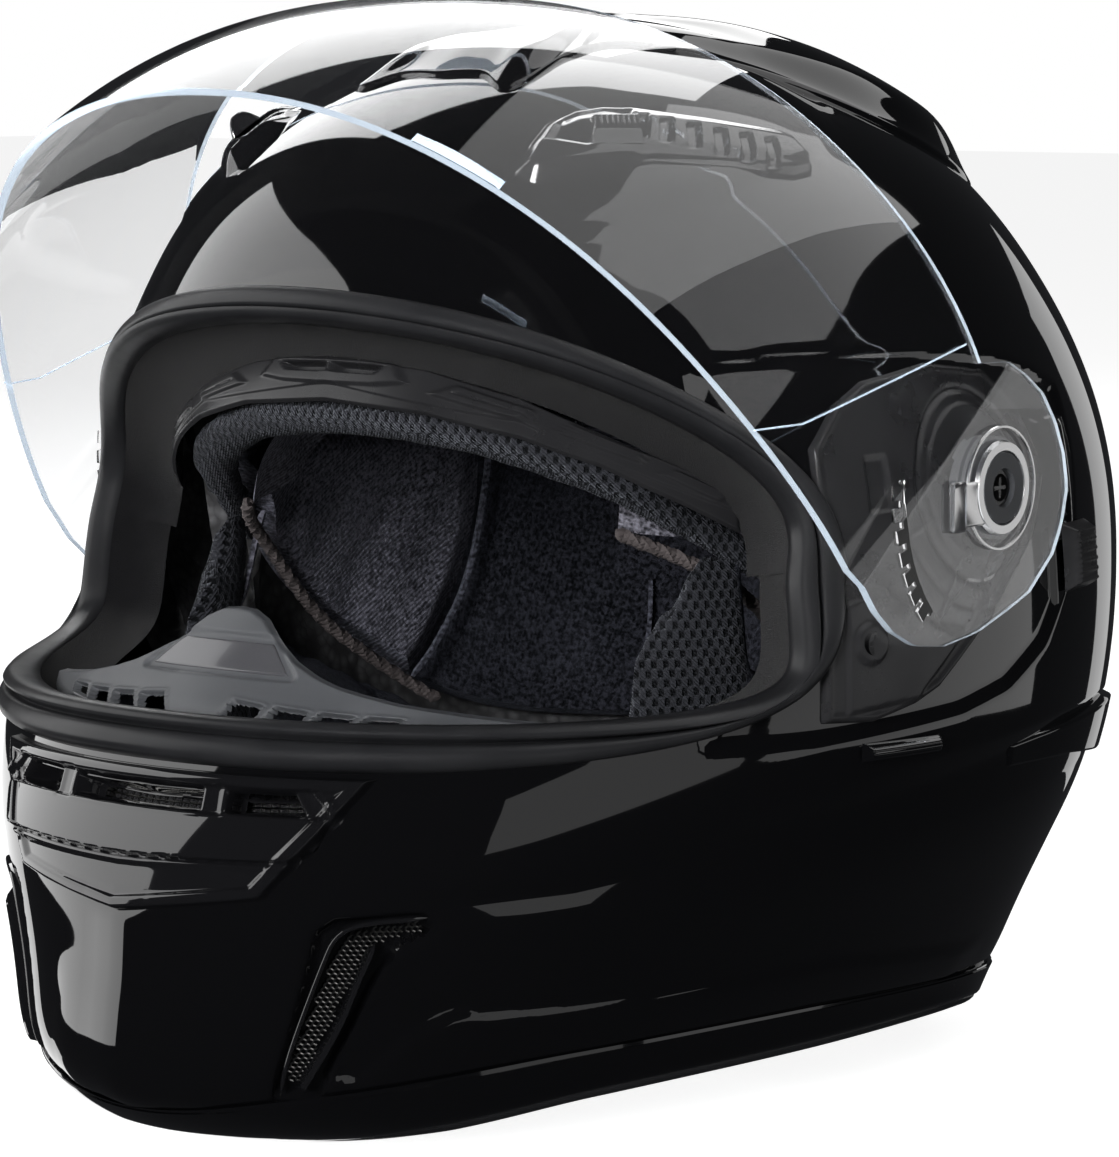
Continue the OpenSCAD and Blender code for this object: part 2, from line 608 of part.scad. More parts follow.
// Lining round the head, open at the top
module crown_liner() {
    us = [for (i = [0 : 29]) -180 + 12 * i];
    ring = function (o) [for (u = us) let (low = curve(liner_edge, abs(u)))
        [for (t = steps(0, 1, 5)) skin(u, low + (pad_edge - pad_gap - low) * t, o)]];
    color("#23252c") slab(ring(eps_in - liner_gap), ring(eps_in - liner_gap - liner_t), true);
}
// Pad over the head, inside the lining's top edge
module crown_pad() {
    outer = eps_in - liner_gap;
    color("#2a2c33") cap([[0, pad_edge], [180, pad_edge]], outer - liner_t, outer, 30, 3);
}

pad_low = [[58, 44], [75, 30], [100, 26], [112, 30]];
pad_high = [[58, 126], [68, 128], [80, 106], [94, 84], [112, 58]];
module cheek_pad(s) {
    r = side_span(s, 58, 112);
    color("#23252c") plate(r[0], r[1], mirrored(pad_low, s), mirrored(pad_high, s),
        eps_in - 21, eps_in - liner_gap, 16, 5);
}

module neck_roll() {
    color("#202024") plate(104, 256, [[104, 18], [180, 12], [256, 18]], [[104, 37], [256, 37]],
        eps_in + 0.5, -10, 24, 3);
}

// ---- Chin strap, fastened across the neck opening ----

// Middle line of each half: [x, z], by hand
strap_left = [[88, 31], [84, 24], [74, 18], [58, 14], [40, 12], [24, 11]];
strap_right = [[-88, 31], [-84, 24], [-74, 18], [-58, 14], [-40, 12], [-20, 11], [0, 11], [8, 11]];
strap_y = 4;
strap_w = 25;
strap_t = 2.4;
module strap(line) {
    color("#1c1c1c") sweep([for (i = [0 : len(line) - 1])
        let (a = line[max(0, i - 1)], b = line[min(len(line) - 1, i + 1)],
             d = unit(b - a), n = [-d[1], d[0]] * strap_t / 2, p = line[i] + n, q = line[i] - n,
             y0 = strap_y + y_shift - strap_w / 2, y1 = y0 + strap_w)
        [[p[0], y0, p[1]], [p[0], y1, p[1]], [q[0], y1, q[1]], [q[0], y0, q[1]]]]);
}
module chin_strap_left() { strap(strap_left); }
module chin_strap_right() { strap(strap_right); }

// Steel D-ring lying at the strap's end
module d_ring(x) {
    wire = 2;
    half = 14;
    color("silver") translate([x, strap_y + y_shift, strap_left[5][1]]) rotate([0, 0, 180]) {
        rotate_extrude(angle = 180) translate([half - 0.5, 0]) circle(wire, $fn = 24);
        translate([-half, 0, 0]) rotate([0, 90, 0]) cylinder(h = 2 * half, r = wire, $fn = 24);
    }
}
// Press stud under the loose end, flush against the webbing
module strap_snap() {
    stud_h = 1.6;
    color("silver") translate([-6, strap_y + y_shift, strap_right[5][1] - strap_t / 2 - stud_h])
        cylinder(h = stud_h, r = 6);
}

// ---- Nodes ----

outer_shell();
lower_edge_trim();
eyeport_gasket();
chin_vent_cover();
chin_vent_gate();
chin_vent_filter();
side_vent_frame(1);  // side_vent_frame_L
side_vent_frame(-1);  // side_vent_frame_R
side_vent_mesh(1);  // side_vent_mesh_L
side_vent_mesh(-1);  // side_vent_mesh_R
side_vent_blade(1);  // side_vent_blade_L
side_vent_blade(-1);  // side_vent_blade_R
breath_deflector();
deflector_badge();
forehead_vent(1);  // forehead_vent_L
forehead_vent(-1);  // forehead_vent_R
forehead_vent_slider(1);  // forehead_vent_slider_L
forehead_vent_slider(-1);  // forehead_vent_slider_R
crown_fairing();
rear_exhaust_grille();
wing_block(1);  // wing_block_L
wing_block(-1);  // wing_block_R
shield();
shield_rack(1);  // shield_rack_L
shield_rack(-1);  // shield_rack_R
shield_base_plate(1);  // shield_base_plate_L
shield_base_plate(-1);  // shield_base_plate_R
shield_pivot(1);  // shield_pivot_L
shield_pivot(-1);  // shield_pivot_R
pivot_screw(1);  // pivot_screw_L
pivot_screw(-1);  // pivot_screw_R
plate_screw(1);  // plate_screw_L
plate_screw(-1);  // plate_screw_R
release_lever(1);  // release_lever_L
release_lever(-1);  // release_lever_R
sun_visor();
visor_arm(1);  // visor_arm_L
visor_arm(-1);  // visor_arm_R
visor_pivot(1);  // visor_pivot_L
visor_pivot(-1);  // visor_pivot_R
visor_slider();
visor_slider_bezel();
eps_liner();
chin_eps();
brow_trim();
brow_pad();
crown_liner();
crown_pad();
cheek_pad(1);  // cheek_pad_L
cheek_pad(-1);  // cheek_pad_R
neck_roll();
chin_strap_left();  // chin_strap_L
chin_strap_right();  // chin_strap_R
d_ring(22);
strap_snap();
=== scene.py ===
"""Full-face motorcycle helmet with its shield raised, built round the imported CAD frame.

+Z is up, -Y is the front, +X is the wearer's left. Lengths in this file are in millimetres
until a mesh is made. A place on the shell is written as an angle u in degrees (0 is the front,
+ is the left) and a height z over the rim datum.
"""

import math

import bpy
import numpy as np
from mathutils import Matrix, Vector


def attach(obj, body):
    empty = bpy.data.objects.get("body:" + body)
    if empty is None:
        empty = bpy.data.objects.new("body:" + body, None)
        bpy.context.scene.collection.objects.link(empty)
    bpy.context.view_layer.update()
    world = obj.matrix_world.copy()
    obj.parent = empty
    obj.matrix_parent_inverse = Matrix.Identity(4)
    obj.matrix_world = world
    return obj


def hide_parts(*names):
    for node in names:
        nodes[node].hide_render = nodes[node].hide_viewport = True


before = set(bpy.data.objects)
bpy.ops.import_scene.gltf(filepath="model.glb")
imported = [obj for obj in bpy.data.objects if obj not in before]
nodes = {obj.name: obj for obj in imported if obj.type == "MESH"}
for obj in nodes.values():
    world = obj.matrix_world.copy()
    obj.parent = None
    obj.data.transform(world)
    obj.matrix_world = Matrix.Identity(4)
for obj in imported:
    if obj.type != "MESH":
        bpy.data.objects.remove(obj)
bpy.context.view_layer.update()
MM = 0.001
SIDES = (("L", 1), ("R", -1))


# ---- Surface of the shell, the same as in the CAD ----

FRONT, SIDE, BACK, CROWN = 182, 131, 162, 268
WAIST, HALF_H, DOME_P, ROW_DZ = 125, 143, 2.1, 29
CENTRE_Y, Y_SHIFT, RIM_H = 10, 2.54, 7
DEGREE = 2.3    # mm in one degree of u on the sides of the shell
ROWS = np.array([
    [FRONT - 15, SIDE - 44, BACK - 62], [FRONT - 4, SIDE - 25, BACK - 47],
    [FRONT, SIDE - 8, BACK - 30], [FRONT - 6, SIDE - 1, BACK - 12],
    [FRONT - 22, SIDE, BACK - 3], [FRONT - 39, SIDE - 2, BACK],
    [FRONT - 51, SIDE - 9, BACK - 7], [FRONT - 62, SIDE - 23, BACK - 24],
    [FRONT - 80, SIDE - 40, BACK - 52]], float)


def dome(z):
    """Narrowing of a level section at height z."""
    return np.maximum(1 - np.abs((z - WAIST) / HALF_H) ** DOME_P, 1e-6) ** (1 / DOME_P)


UNROLLED = ROWS / dome(np.arange(len(ROWS)) * float(ROW_DZ))[:, None]
KNOTS = np.vstack([2 * UNROLLED[0] - UNROLLED[1], UNROLLED])


def radii(z):
    """Radii towards front, side and back at height z."""
    t = np.maximum(z, 0) / ROW_DZ
    i = np.floor(t).astype(int)
    f = (t - i)[..., None]
    g = 1 - f
    last = len(ROWS)
    k = [KNOTS[np.minimum(i + j, last)] for j in range(4)]
    spline = (g ** 3 * k[0] + (3 * f ** 3 - 6 * f ** 2 + 4) * k[1]
              + (3 * g ** 3 - 6 * g ** 2 + 4) * k[2] + f ** 3 * k[3])
    return dome(z)[..., None] / 6 * spline


def skin0(u, z):
    """Points of the shell's outer surface."""
    u, z = np.broadcast_arrays(np.asarray(u, float), np.asarray(z, float))
    r = radii(z)
    cu, su = np.cos(np.radians(u)), np.sin(np.radians(u))
    c = (1 + cu) / 2
    k = c * c * (3 - 2 * c)
    a = r[..., 2] + (r[..., 0] - r[..., 2]) * k
    n = 2.15 + (np.minimum(z / 116, 1) * 0.15 - 0.2) * k
    d = ((np.abs(cu) / a) ** n + (np.abs(su) / r[..., 1]) ** n) ** (-1 / n)
    return np.stack([d * su, CENTRE_Y - d * cu + Y_SHIFT, z + RIM_H], -1)


def unit(v):
    """Vectors of length 1."""
    return v / np.maximum(np.linalg.norm(v, axis=-1, keepdims=True), 1e-9)


def normal(u, z):
    """Outward normals of the shell."""
    e = 0.3
    u, z = np.broadcast_arrays(np.asarray(u, float), np.asarray(z, float))
    zz = np.minimum(z, CROWN - 1)
    return unit(np.cross(skin0(u + e, zz) - skin0(u - e, zz), skin0(u, zz + e) - skin0(u, zz - e)))


def skin(u, z, o=0.0):
    """The same points moved out by o."""
    return skin0(u, z) + np.asarray(o, float)[..., None] * normal(u, z)


def smooth(x):
    """0 below 0, 1 above 1, and a smooth step between."""
    x = np.clip(x, 0, 1)
    return x * x * (3 - 2 * x)


def ridge(x, width):
    """A rounded bump, 1 high, along x = 0."""
    return np.exp(-(x / width) ** 2)


def line(points, x):
    """Value at x on straight lines through given points."""
    p = np.array(points, float)
    return np.interp(x, p[:, 0], p[:, 1])


def curve(points, x):
    """Value at x on a smooth curve through given points, level at both ends."""
    p = np.array(points, float)
    px, py = p[:, 0], p[:, 1]
    m = np.zeros(len(p))
    m[1:-1] = (py[2:] - py[:-2]) / (px[2:] - px[:-2])
    x = np.clip(np.asarray(x, float), px[0], px[-1])
    i = np.clip(np.searchsorted(px, x, side="right") - 1, 0, len(p) - 2)
    w = px[i + 1] - px[i]
    f = (x - px[i]) / w
    g = 1 - f
    return (g * g * (1 + 2 * f) * py[i] + f * f * (3 - 2 * f) * py[i + 1]
            + w * f * g * (g * m[i] - f * m[i + 1]))


def distance(u, z, polygon, per_degree=DEGREE):
    """Signed distance in mm to a polygon of (u, z) points, negative inside."""
    p = np.array(polygon, float) * [per_degree, 1]
    x, y = np.asarray(u, float) * per_degree, np.asarray(z, float)
    best = np.full(np.broadcast(x, y).shape, 1e9)
    inside = np.zeros(best.shape, bool)
    for (ax, ay), (bx, by) in zip(p, np.roll(p, -1, 0)):
        dx, dy = bx - ax, by - ay
        t = np.clip(((x - ax) * dx + (y - ay) * dy) / (dx * dx + dy * dy + 1e-12), 0, 1)
        best = np.minimum(best, np.hypot(x - ax - t * dx, y - ay - t * dy))
        crosses = ((ay > y) != (by > y)) & (x < (bx - ax) * (y - ay) / (by - ay + 1e-12) + ax)
        inside ^= crosses
    return np.where(inside, -best, best)


LIP_LOW = [[0, -7], [9, -7], [22, -1], [38, 6], [70, 9], [110, 8], [140, -1], [165, -7], [180, -7]]
LIP_HIGH = [[0, 7], [16, 13], [37, 20], [70, 22], [116, 18], [150, 12], [180, 9]]
LIP_FLARE = [[0, 7], [20, 6], [50, 4], [120, 4], [160, 6], [180, 6]]


def lip_low(u):
    """Height of the shell trim's bottom edge."""
    return np.maximum(curve(LIP_LOW, np.abs(u)), -RIM_H)


PORT_HALF, PORT_TOP, PORT_BOTTOM, PORT_DROP = 61, 194, 103, 37
DROP_AT = 66         # angle at which the eyeport's top has come down by PORT_DROP
PORT_DEGREE = 1.9    # mm in one degree of u at the eyeport's ends


def port_top(u):
    """Height of the eyeport's top edge."""
    return PORT_TOP - PORT_DROP * (u / DROP_AT) ** 2


def port(w, g=0.0, top_corner=4.5, low_corner=7.0):
    """(u, z) of the eyeport's outline in direction w, grown by g."""
    w = np.radians(np.asarray(w, float))
    p = np.where(np.sin(w) < 0, low_corner, top_corner)
    r = (np.abs(np.cos(w)) ** p + np.abs(np.sin(w)) ** p) ** (-1 / p)
    u = (PORT_HALF + g / PORT_DEGREE) * r * np.cos(w)
    top = port_top(u)
    return u, (top + PORT_BOTTOM) / 2 + ((top - PORT_BOTTOM) / 2 + g) * r * np.sin(w)


def in_port(u, z, g=0.0):
    """True where (u, z) is inside the outline grown by g."""
    top = port_top(u)
    p = np.where(z > (top + PORT_BOTTOM) / 2, 4.2, 3.8)
    x = np.abs(u) / (PORT_HALF + g / PORT_DEGREE)
    y = np.abs(z - (top + PORT_BOTTOM) / 2) / ((top - PORT_BOTTOM) / 2 + g)
    return x ** p + y ** p < 1


def lip_inset(w):
    """How far the gasket's inner lip stands inside (-) or outside (+) the eyeport's outline."""
    s = np.sin(np.radians(w))
    return np.where(s > 0, -1.6 + 5.2 * smooth(np.abs(s) / 0.9), -1.6 + 0.9 * smooth(np.abs(s) / 0.8))


def port_frame(w, a, b, **corners):
    """Points a outwards in the surface from the eyeport's edge and b off the surface."""
    w = np.asarray(w, float)
    u, z = port(w, **corners)
    u1, z1 = port(w - 1, **corners)
    u2, z2 = port(w + 1, **corners)
    n = normal(u, z)
    t = unit(skin0(u2, z2) - skin0(u1, z1))
    g = np.cross(t, n)
    return skin0(u, z) + np.asarray(a, float)[..., None] * g + np.asarray(b, float)[..., None] * n


# ---- Meshes ----

def finish_mesh(name, verts, faces, mat, angle=35, body="helmet", instead=(), slots=None, slot=None,
                fill=None, shadow=True):
    """Piece from points in metres: its body, the CAD nodes it stands for, its finish and, when fill is given,
    its weave coordinates.
    """
    mesh = bpy.data.meshes.new(name)
    mesh.from_pydata(np.asarray(verts, float).tolist(), [], [list(map(int, f)) for f in faces])
    mesh.update()
    for m in (mat if isinstance(mat, (list, tuple)) else [mat]):
        mesh.materials.append(m)
    if slots is not None:
        mesh.polygons.foreach_set("material_index", np.asarray(slots, np.int32))
    mesh.shade_smooth()
    mesh.set_sharp_from_angle(angle=math.radians(angle))
    obj = bpy.data.objects.new(name, mesh)
    bpy.context.scene.collection.objects.link(obj)
    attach(obj, body)
    if instead:
        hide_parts(*instead)
    obj.visible_shadow = shadow
    if fill is not None:
        weave(obj)
    return obj


def quads(n, m, loop_n=False, loop_m=False, base=0, flip=False):
    """Faces of an n by m grid of vertices."""
    i = np.arange(n if loop_n else n - 1)
    j = np.arange(m if loop_m else m - 1)
    i, j = [q.ravel() for q in np.meshgrid(i, j, indexing="ij")]
    i2, j2 = (i + 1) % n, (j + 1) % m
    f = np.stack([i * m + j, i2 * m + j, i2 * m + j2, i * m + j2], 1) + base
    return f[:, ::-1] if flip else f


def sheet(name, points, mat, loop=False, keep=None, flip=False, cap=False, **kw):
    """Open sheet through a grid of points in mm; cap closes its last row."""
    n, m = points.shape[:2]
    f = quads(n, m, loop, flip=flip)
    if keep is not None:
        f = f[keep.ravel()]
    top = np.arange(n if cap else 0) * m + m - 1
    used = np.unique(np.concatenate([f.ravel(), top]))
    index = np.full(n * m, -1)
    index[used] = np.arange(len(used))
    faces = index[f].tolist()
    if cap:
        faces.append(index[top[::-1] if flip else top].tolist())
    return finish_mesh(name, points.reshape(-1, 3)[used] * MM, faces, mat, **kw)


def slab(name, outer, inner, mat, loop=False, rim_slot=None, **kw):
    """Closed solid between two grids of points in mm."""
    n, m = outer.shape[:2]
    base = n * m
    a = quads(n, m, loop)
    b = quads(n, m, loop, base=base, flip=True)
    i = np.arange(n if loop else n - 1)
    i2 = (i + 1) % n
    low = np.stack([i2 * m, i * m, base + i * m, base + i2 * m], 1)
    top = np.stack([i * m + m - 1, i2 * m + m - 1, base + i2 * m + m - 1, base + i * m + m - 1], 1)
    edges = [low, top]
    if not loop:
        j = np.arange(m - 1)
        k = (n - 1) * m
        edges += [np.stack([j, j + 1, base + j + 1, base + j], 1),
                  np.stack([k + j + 1, k + j, base + k + j, base + k + j + 1], 1)]
    edges = np.vstack(edges)
    slots = None
    if rim_slot is not None:
        slots = [0] * (len(a) + len(b)) + [rim_slot] * len(edges)
    verts = np.vstack([outer.reshape(-1, 3), inner.reshape(-1, 3)]) * MM
    return finish_mesh(name, verts, np.vstack([a, b, edges]), mat, slots=slots, **kw)


def sweep(name, rings, mat, loop=False, flip=False, **kw):
    """Closed tube through rings of points in mm."""
    n, m = rings.shape[:2]
    f = [list(q) for q in quads(n, m, loop, True, flip=flip)]
    if not loop:
        ends = [list(range(m)), list(range((n - 1) * m, n * m))[::-1]]
        f += [e[::-1] for e in ends] if flip else ends
    return finish_mesh(name, rings.reshape(-1, 3) * MM, f, mat, **kw)


def wires(name, segments, radius, mat, sides=6, **kw):
    """Many straight wires, one per pair of points in mm."""
    s = np.array(segments, float)
    a, b = s[:, 0], s[:, 1]
    d = unit(b - a)
    ref = np.where(np.abs(d[:, 2:]) > 0.9, [[1.0, 0, 0]], [[0, 0, 1.0]])
    e1 = unit(np.cross(d, ref))
    e2 = np.cross(d, e1)
    ang = np.arange(sides) * 2 * math.pi / sides
    ring = radius * (np.cos(ang)[None, :, None] * e1[:, None] + np.sin(ang)[None, :, None] * e2[:, None])
    verts = np.concatenate([a[:, None] + ring, b[:, None] + ring], 1).reshape(-1, 3)
    faces = []
    for k in range(len(s)):
        o = k * 2 * sides
        for j in range(sides):
            j2 = (j + 1) % sides
            faces.append([o + j, o + j2, o + sides + j2, o + sides + j])
        faces.append([o + j for j in range(sides)][::-1])
        faces.append([o + sides + j for j in range(sides)])
    return finish_mesh(name, verts * MM, faces, mat, **kw)


def tube(name, path, radius, mat, sides, **kw):
    """Round tube along a path of points in mm."""
    p = np.array(path, float)
    t = unit(np.gradient(p, axis=0))
    e1 = unit(np.cross(t, np.broadcast_to([0, 0, 1.0], t.shape)))
    e2 = np.cross(t, e1)
    ang = np.arange(sides) * 2 * math.pi / sides
    r = np.broadcast_to(np.asarray(radius, float), (len(p),))
    rings = p[:, None] + r[:, None, None] * (np.cos(ang)[None, :, None] * e1[:, None]
                                             + np.sin(ang)[None, :, None] * e2[:, None])
    return sweep(name, rings, mat, flip=True, **kw)


# ---- Materials ----

SOCKETS = {"base": "Base Color", "rough": "Roughness", "metal": "Metallic", "ior": "IOR",
           "coat": "Coat Weight", "coat_rough": "Coat Roughness", "transmission": "Transmission Weight",
           "sheen": "Sheen Weight", "sheen_rough": "Sheen Roughness", "normal": "Normal",
           "tint": "Sheen Tint", "glow": "Emission Strength", "glow_color": "Emission Color",
           "specular": "Specular IOR Level"}


class Nodes:
    """Short names for building a node tree."""

    def __init__(self, name):
        self.mat = bpy.data.materials.new(name)
        self.mat.use_nodes = True
        self.tree = self.mat.node_tree
        self.shader = self.tree.nodes["Principled BSDF"]
        self.coord = self.tree.nodes.new("ShaderNodeTexCoord").outputs["Object"]

    def feed(self, socket, value):
        """Links an output to a socket, or sets the socket's own value."""
        if hasattr(value, "links"):
            self.tree.links.new(value, socket)
        else:
            socket.default_value = value

    def new(self, kind, **inputs):
        n = self.tree.nodes.new(kind)
        for k, v in inputs.items():
            self.feed(n.inputs[k.replace("_", " ")], v)
        return n

    def math(self, op, a, b=0.0):
        n = self.tree.nodes.new("ShaderNodeMath")
        n.operation = op
        self.feed(n.inputs[0], a)
        self.feed(n.inputs[1], b)
        return n.outputs[0]

    def add(self, a, b):
        return self.math("ADD", a, b)

    def mul(self, a, b):
        return self.math("MULTIPLY", a, b)

    def wave(self, x, k):
        return self.math("SINE", self.mul(x, k))

    def noise(self, scale, detail=4.0, rough=0.6, vector=None):
        return self.new("ShaderNodeTexNoise", Vector=vector or self.coord, Scale=scale, Detail=detail,
                        Roughness=rough).outputs["Fac"]

    def cells(self, scale):
        return self.new("ShaderNodeTexVoronoi", Vector=self.coord, Scale=scale).outputs["Distance"]

    def stretched(self, scale):
        return self.new("ShaderNodeMapping", Vector=self.coord, Scale=scale).outputs["Vector"]

    def ramp(self, source, low, high, a=0.0, b=1.0):
        """Values a to b of the source spread over low to high."""
        return self.new("ShaderNodeMapRange", Value=source, From_Min=a, From_Max=b, To_Min=low,
                        To_Max=high).outputs["Result"]

    def mix(self, fac, a, b):
        n = self.tree.nodes.new("ShaderNodeMix")
        n.data_type = "RGBA"
        self.tree.links.new(fac, n.inputs["Factor"])
        for i, v in ((6, a), (7, b)):
            self.feed(n.inputs[i], v if hasattr(v, "links") else (*v, 1.0))
        return n.outputs[2]

    def bump(self, height, strength, distance):
        n = self.new("ShaderNodeBump", Height=height, Strength=strength, Distance=distance)
        return n.outputs["Normal"]

    def set(self, **values):
        """Constants on the shader's own sockets, or links."""
        for k, v in values.items():
            self.feed(self.shader.inputs[SOCKETS[k]], v)


def shade(color, k):
    return [c * k for c in color]


def moulded(name, color, rough, grain=900, depth=0.00004, vary=0.12, coat=0.0, spread=0.07,
            metal=0.0, strength=0.35, specular=0.5):
    """Moulded plastic or rubber: fine grain, faint colour and gloss variation."""
    t = Nodes(name)
    big, small = t.noise(28, 5), t.noise(grain, 2)
    dark, pale = [c * (1 - vary) for c in color], [min(1, c * (1 + vary) + 0.002) for c in color]
    t.set(base=t.mix(t.ramp(big, 0, 1, 0.3, 0.7), dark, pale), metal=metal, coat=coat,
          rough=t.ramp(t.noise(60, 6), rough - spread, rough + spread, 0.3, 0.7),
          normal=t.bump(small, strength, depth), specular=specular)
    return t.mat


def lacquer(name, color=(0.0006, 0.0006, 0.0007)):
    """Gloss lacquer with faint polishing haze and a trace of orange peel."""
    t = Nodes(name)
    haze = t.noise(14, 6, 0.65)
    peel = t.bump(t.noise(260, 1, 0.4), 0.05, 0.00002)
    dark = t.mix(t.ramp(t.cells(2600), 0, 1, 0.0, 0.9), color, shade(color, 1.5))
    t.set(base=dark, rough=t.ramp(haze, 0.02, 0.075, 0.35, 0.75), coat=1.0, coat_rough=0.012,
          normal=peel, ior=1.5)
    return t.mat


def weave_coord(t):
    """Place along the cloth in mm, as weave() stores it."""
    n = t.new("ShaderNodeAttribute")
    n.attribute_name = "weave"
    s = t.new("ShaderNodeSeparateXYZ", Vector=n.outputs["Vector"])
    return s.outputs["X"], s.outputs["Y"]


def knit(name, color, rib=1.25, angle=18, fuzz=0.5, nap=0.5):
    """Brushed knit: fine ribs with a nap of fibres over them."""
    t = Nodes(name)
    x, y = weave_coord(t)
    a = math.radians(angle)
    along = t.add(t.mul(x, math.cos(a)), t.mul(y, math.sin(a)))
    ribs = t.wave(t.add(along, t.mul(t.noise(120, 3), 0.8)), 2 * math.pi / rib)
    across = t.math("SUBTRACT", t.mul(y, math.cos(a)), t.mul(x, math.sin(a)))
    loops = t.wave(across, 2 * math.pi / (rib * 1.3))
    cloth = t.add(t.mul(ribs, 0.5), t.mul(loops, 0.22))
    fibres = t.noise(1900, 4, 0.75)
    height = t.add(t.mul(cloth, 1 - nap), t.mul(fibres, 2 * nap))
    tone = t.add(t.mul(t.ramp(t.noise(760, 2, 0.6), 0, 1, 0.4, 0.64), 0.66),
                 t.mul(t.ramp(cloth, 0, 1, -0.8, 0.8), 0.3 * (1.4 - nap)))
    tone = t.add(tone, t.mul(t.math("SUBTRACT", t.noise(35, 5), 0.5), 0.5))
    t.set(base=t.mix(tone, shade(color, 0.12), shade(color, 2.9)), rough=t.ramp(fibres, 0.85, 1.0),
          sheen=fuzz, sheen_rough=0.4, tint=(0.62, 0.68, 0.85, 1.0), normal=t.bump(height, 0.9, 0.00045),
          specular=0.1)
    return t.mat


def spacer(name, color, pitch=2.9):
    """Spacer mesh: rows of small holes between raised loops of yarn."""
    t = Nodes(name)
    x, y = weave_coord(t)
    k = 2 * math.pi / pitch
    cell = t.mul(t.wave(x, k), t.wave(y, k * 0.62))
    yarn = t.wave(t.add(x, y), k * 3.0)
    fibres = t.noise(1500, 3)
    hole = t.ramp(cell, 0, 1, -0.55, 0.1)
    height = t.add(hole, t.mul(t.add(yarn, fibres), 0.16))
    # The holes are made near black against paler yarn: painted shade in the holes, with random fibre tone
    # over it.
    tone = t.mul(hole, t.ramp(fibres, 0.55, 1.0, 0.25, 0.75))
    t.set(base=t.mix(tone, shade(color, 0.1), shade(color, 2.0)), rough=t.ramp(fibres, 0.7, 0.95),
          sheen=0.04, sheen_rough=0.5, tint=(0.7, 0.75, 0.85, 1.0), normal=t.bump(height, 1.0, 0.0011),
          specular=0.15)
    return t.mat


def felt(name, color):
    """Dense short fibres in clumps."""
    t = Nodes(name)
    fibres, clump = t.noise(2600, 5, 0.8), t.noise(240, 4)
    tone = t.mul(t.ramp(fibres, 0, 1, 0.35, 0.7), t.ramp(clump, 0.4, 1.0, 0.3, 0.7))
    t.set(base=t.mix(tone, shade(color, 0.3), shade(color, 1.9)), rough=1.0,
          sheen=0.03, sheen_rough=0.5, normal=t.bump(fibres, 1.0, 0.0005), specular=0.06)
    return t.mat


def webbing(name, color, rib=1.6):
    """Crossed diagonal ribs of a woven band."""
    t = Nodes(name)
    x, y = weave_coord(t)
    k = 2 * math.pi / rib
    twill = t.math("MAXIMUM", t.wave(t.add(x, y), k), t.wave(t.math("SUBTRACT", x, y), k))
    fibres = t.noise(1400, 3)
    tone = t.mul(t.ramp(twill, 0.3, 1.0, -0.2, 1.0), t.ramp(fibres, 0.6, 1.0, 0.3, 0.7))
    t.set(base=t.mix(tone, shade(color, 0.3), shade(color, 1.8)), sheen=0.25,
          rough=t.ramp(fibres, 0.6, 0.8), normal=t.bump(twill, 0.8, 0.0004))
    return t.mat


def foam(name, color):
    """Beads of foam with darker joints."""
    t = Nodes(name)
    edge = t.cells(330)
    t.set(base=t.mix(t.ramp(edge, 0, 1, 0.1, 0.7), shade(color, 1.5), shade(color, 0.5)),
          rough=t.ramp(t.noise(80), 0.65, 0.9), normal=t.bump(edge, 0.7, -0.0006))
    return t.mat


def metal(name, color, rough, brush=420):
    """Brushed and slightly worn metal."""
    t = Nodes(name)
    lines = t.noise(brush, 3, 0.6, t.stretched((1, 1, 9)))
    worn = t.noise(90, 6)
    t.set(base=t.mix(t.ramp(worn, 0, 1, 0.35, 0.7), shade(color, 0.7), color), metal=1.0,
          rough=t.ramp(lines, rough - 0.08, rough + 0.12, 0.3, 0.7), normal=t.bump(lines, 0.2, 0.00004))
    return t.mat


def clear(name, color, rough=0.0, haze=0.0, ior=1.49, transmission=1.0):
    """Clear or tinted polycarbonate with very faint wiping marks."""
    t = Nodes(name)
    wipes = t.noise(45, 8, 0.7, t.stretched((1, 6, 1)))
    t.set(base=t.mix(t.ramp(wipes, 0, 1, 0.3, 0.7), color, [min(1, c * 1.02) for c in color]),
          rough=t.ramp(wipes, rough, rough + 0.012, 0.55, 0.8), transmission=transmission, ior=ior,
          normal=t.bump(t.noise(9, 2), 0.02, 0.0002))
    return t.mat


GLOSS = lacquer("gloss_black_lacquer")
TRIM = lacquer("gloss_trim_plastic", (0.0014, 0.0014, 0.0016))
RUBBER = moulded("gasket_rubber", (0.004, 0.0041, 0.0046), 0.35, 1300, 0.00005, specular=0.33)
MATTE = moulded("matte_black_plastic", (0.006, 0.006, 0.0065), 0.42, 1100, specular=0.3)
SATIN = moulded("satin_black_plastic", (0.005, 0.005, 0.0055), 0.3, 800, 0.00002, specular=0.4)
GREY = moulded("grey_plastic", (0.02, 0.021, 0.023), 0.4, 1200, 0.00005, specular=0.45)
BADGE = moulded("badge_plastic", (0.02, 0.02, 0.022), 0.16, 700, 0.00001, coat=0.5)
FOAM = foam("beaded_foam", (0.02, 0.02, 0.021))
STEEL = metal("plated_steel", (0.42, 0.42, 0.42), 0.32)
DARK_STEEL = metal("dark_screw_steel", (0.07, 0.07, 0.072), 0.4)
WIRE = metal("woven_wire", (0.5, 0.49, 0.47), 0.35)
CLEAR = clear("clear_polycarbonate", (0.985, 0.99, 1.0))
RIM = clear("moulded_clear_rim", (0.8, 0.82, 0.85), 0.22)
SMOKE = clear("smoked_polycarbonate", (0.05, 0.055, 0.06))
# Faint bluish emission on the cut edge: a painted glow, so the shield's edges shine without a lamp.
GLOWING_EDGE = Nodes("cut_edge_of_clear_sheet_painted_glow")
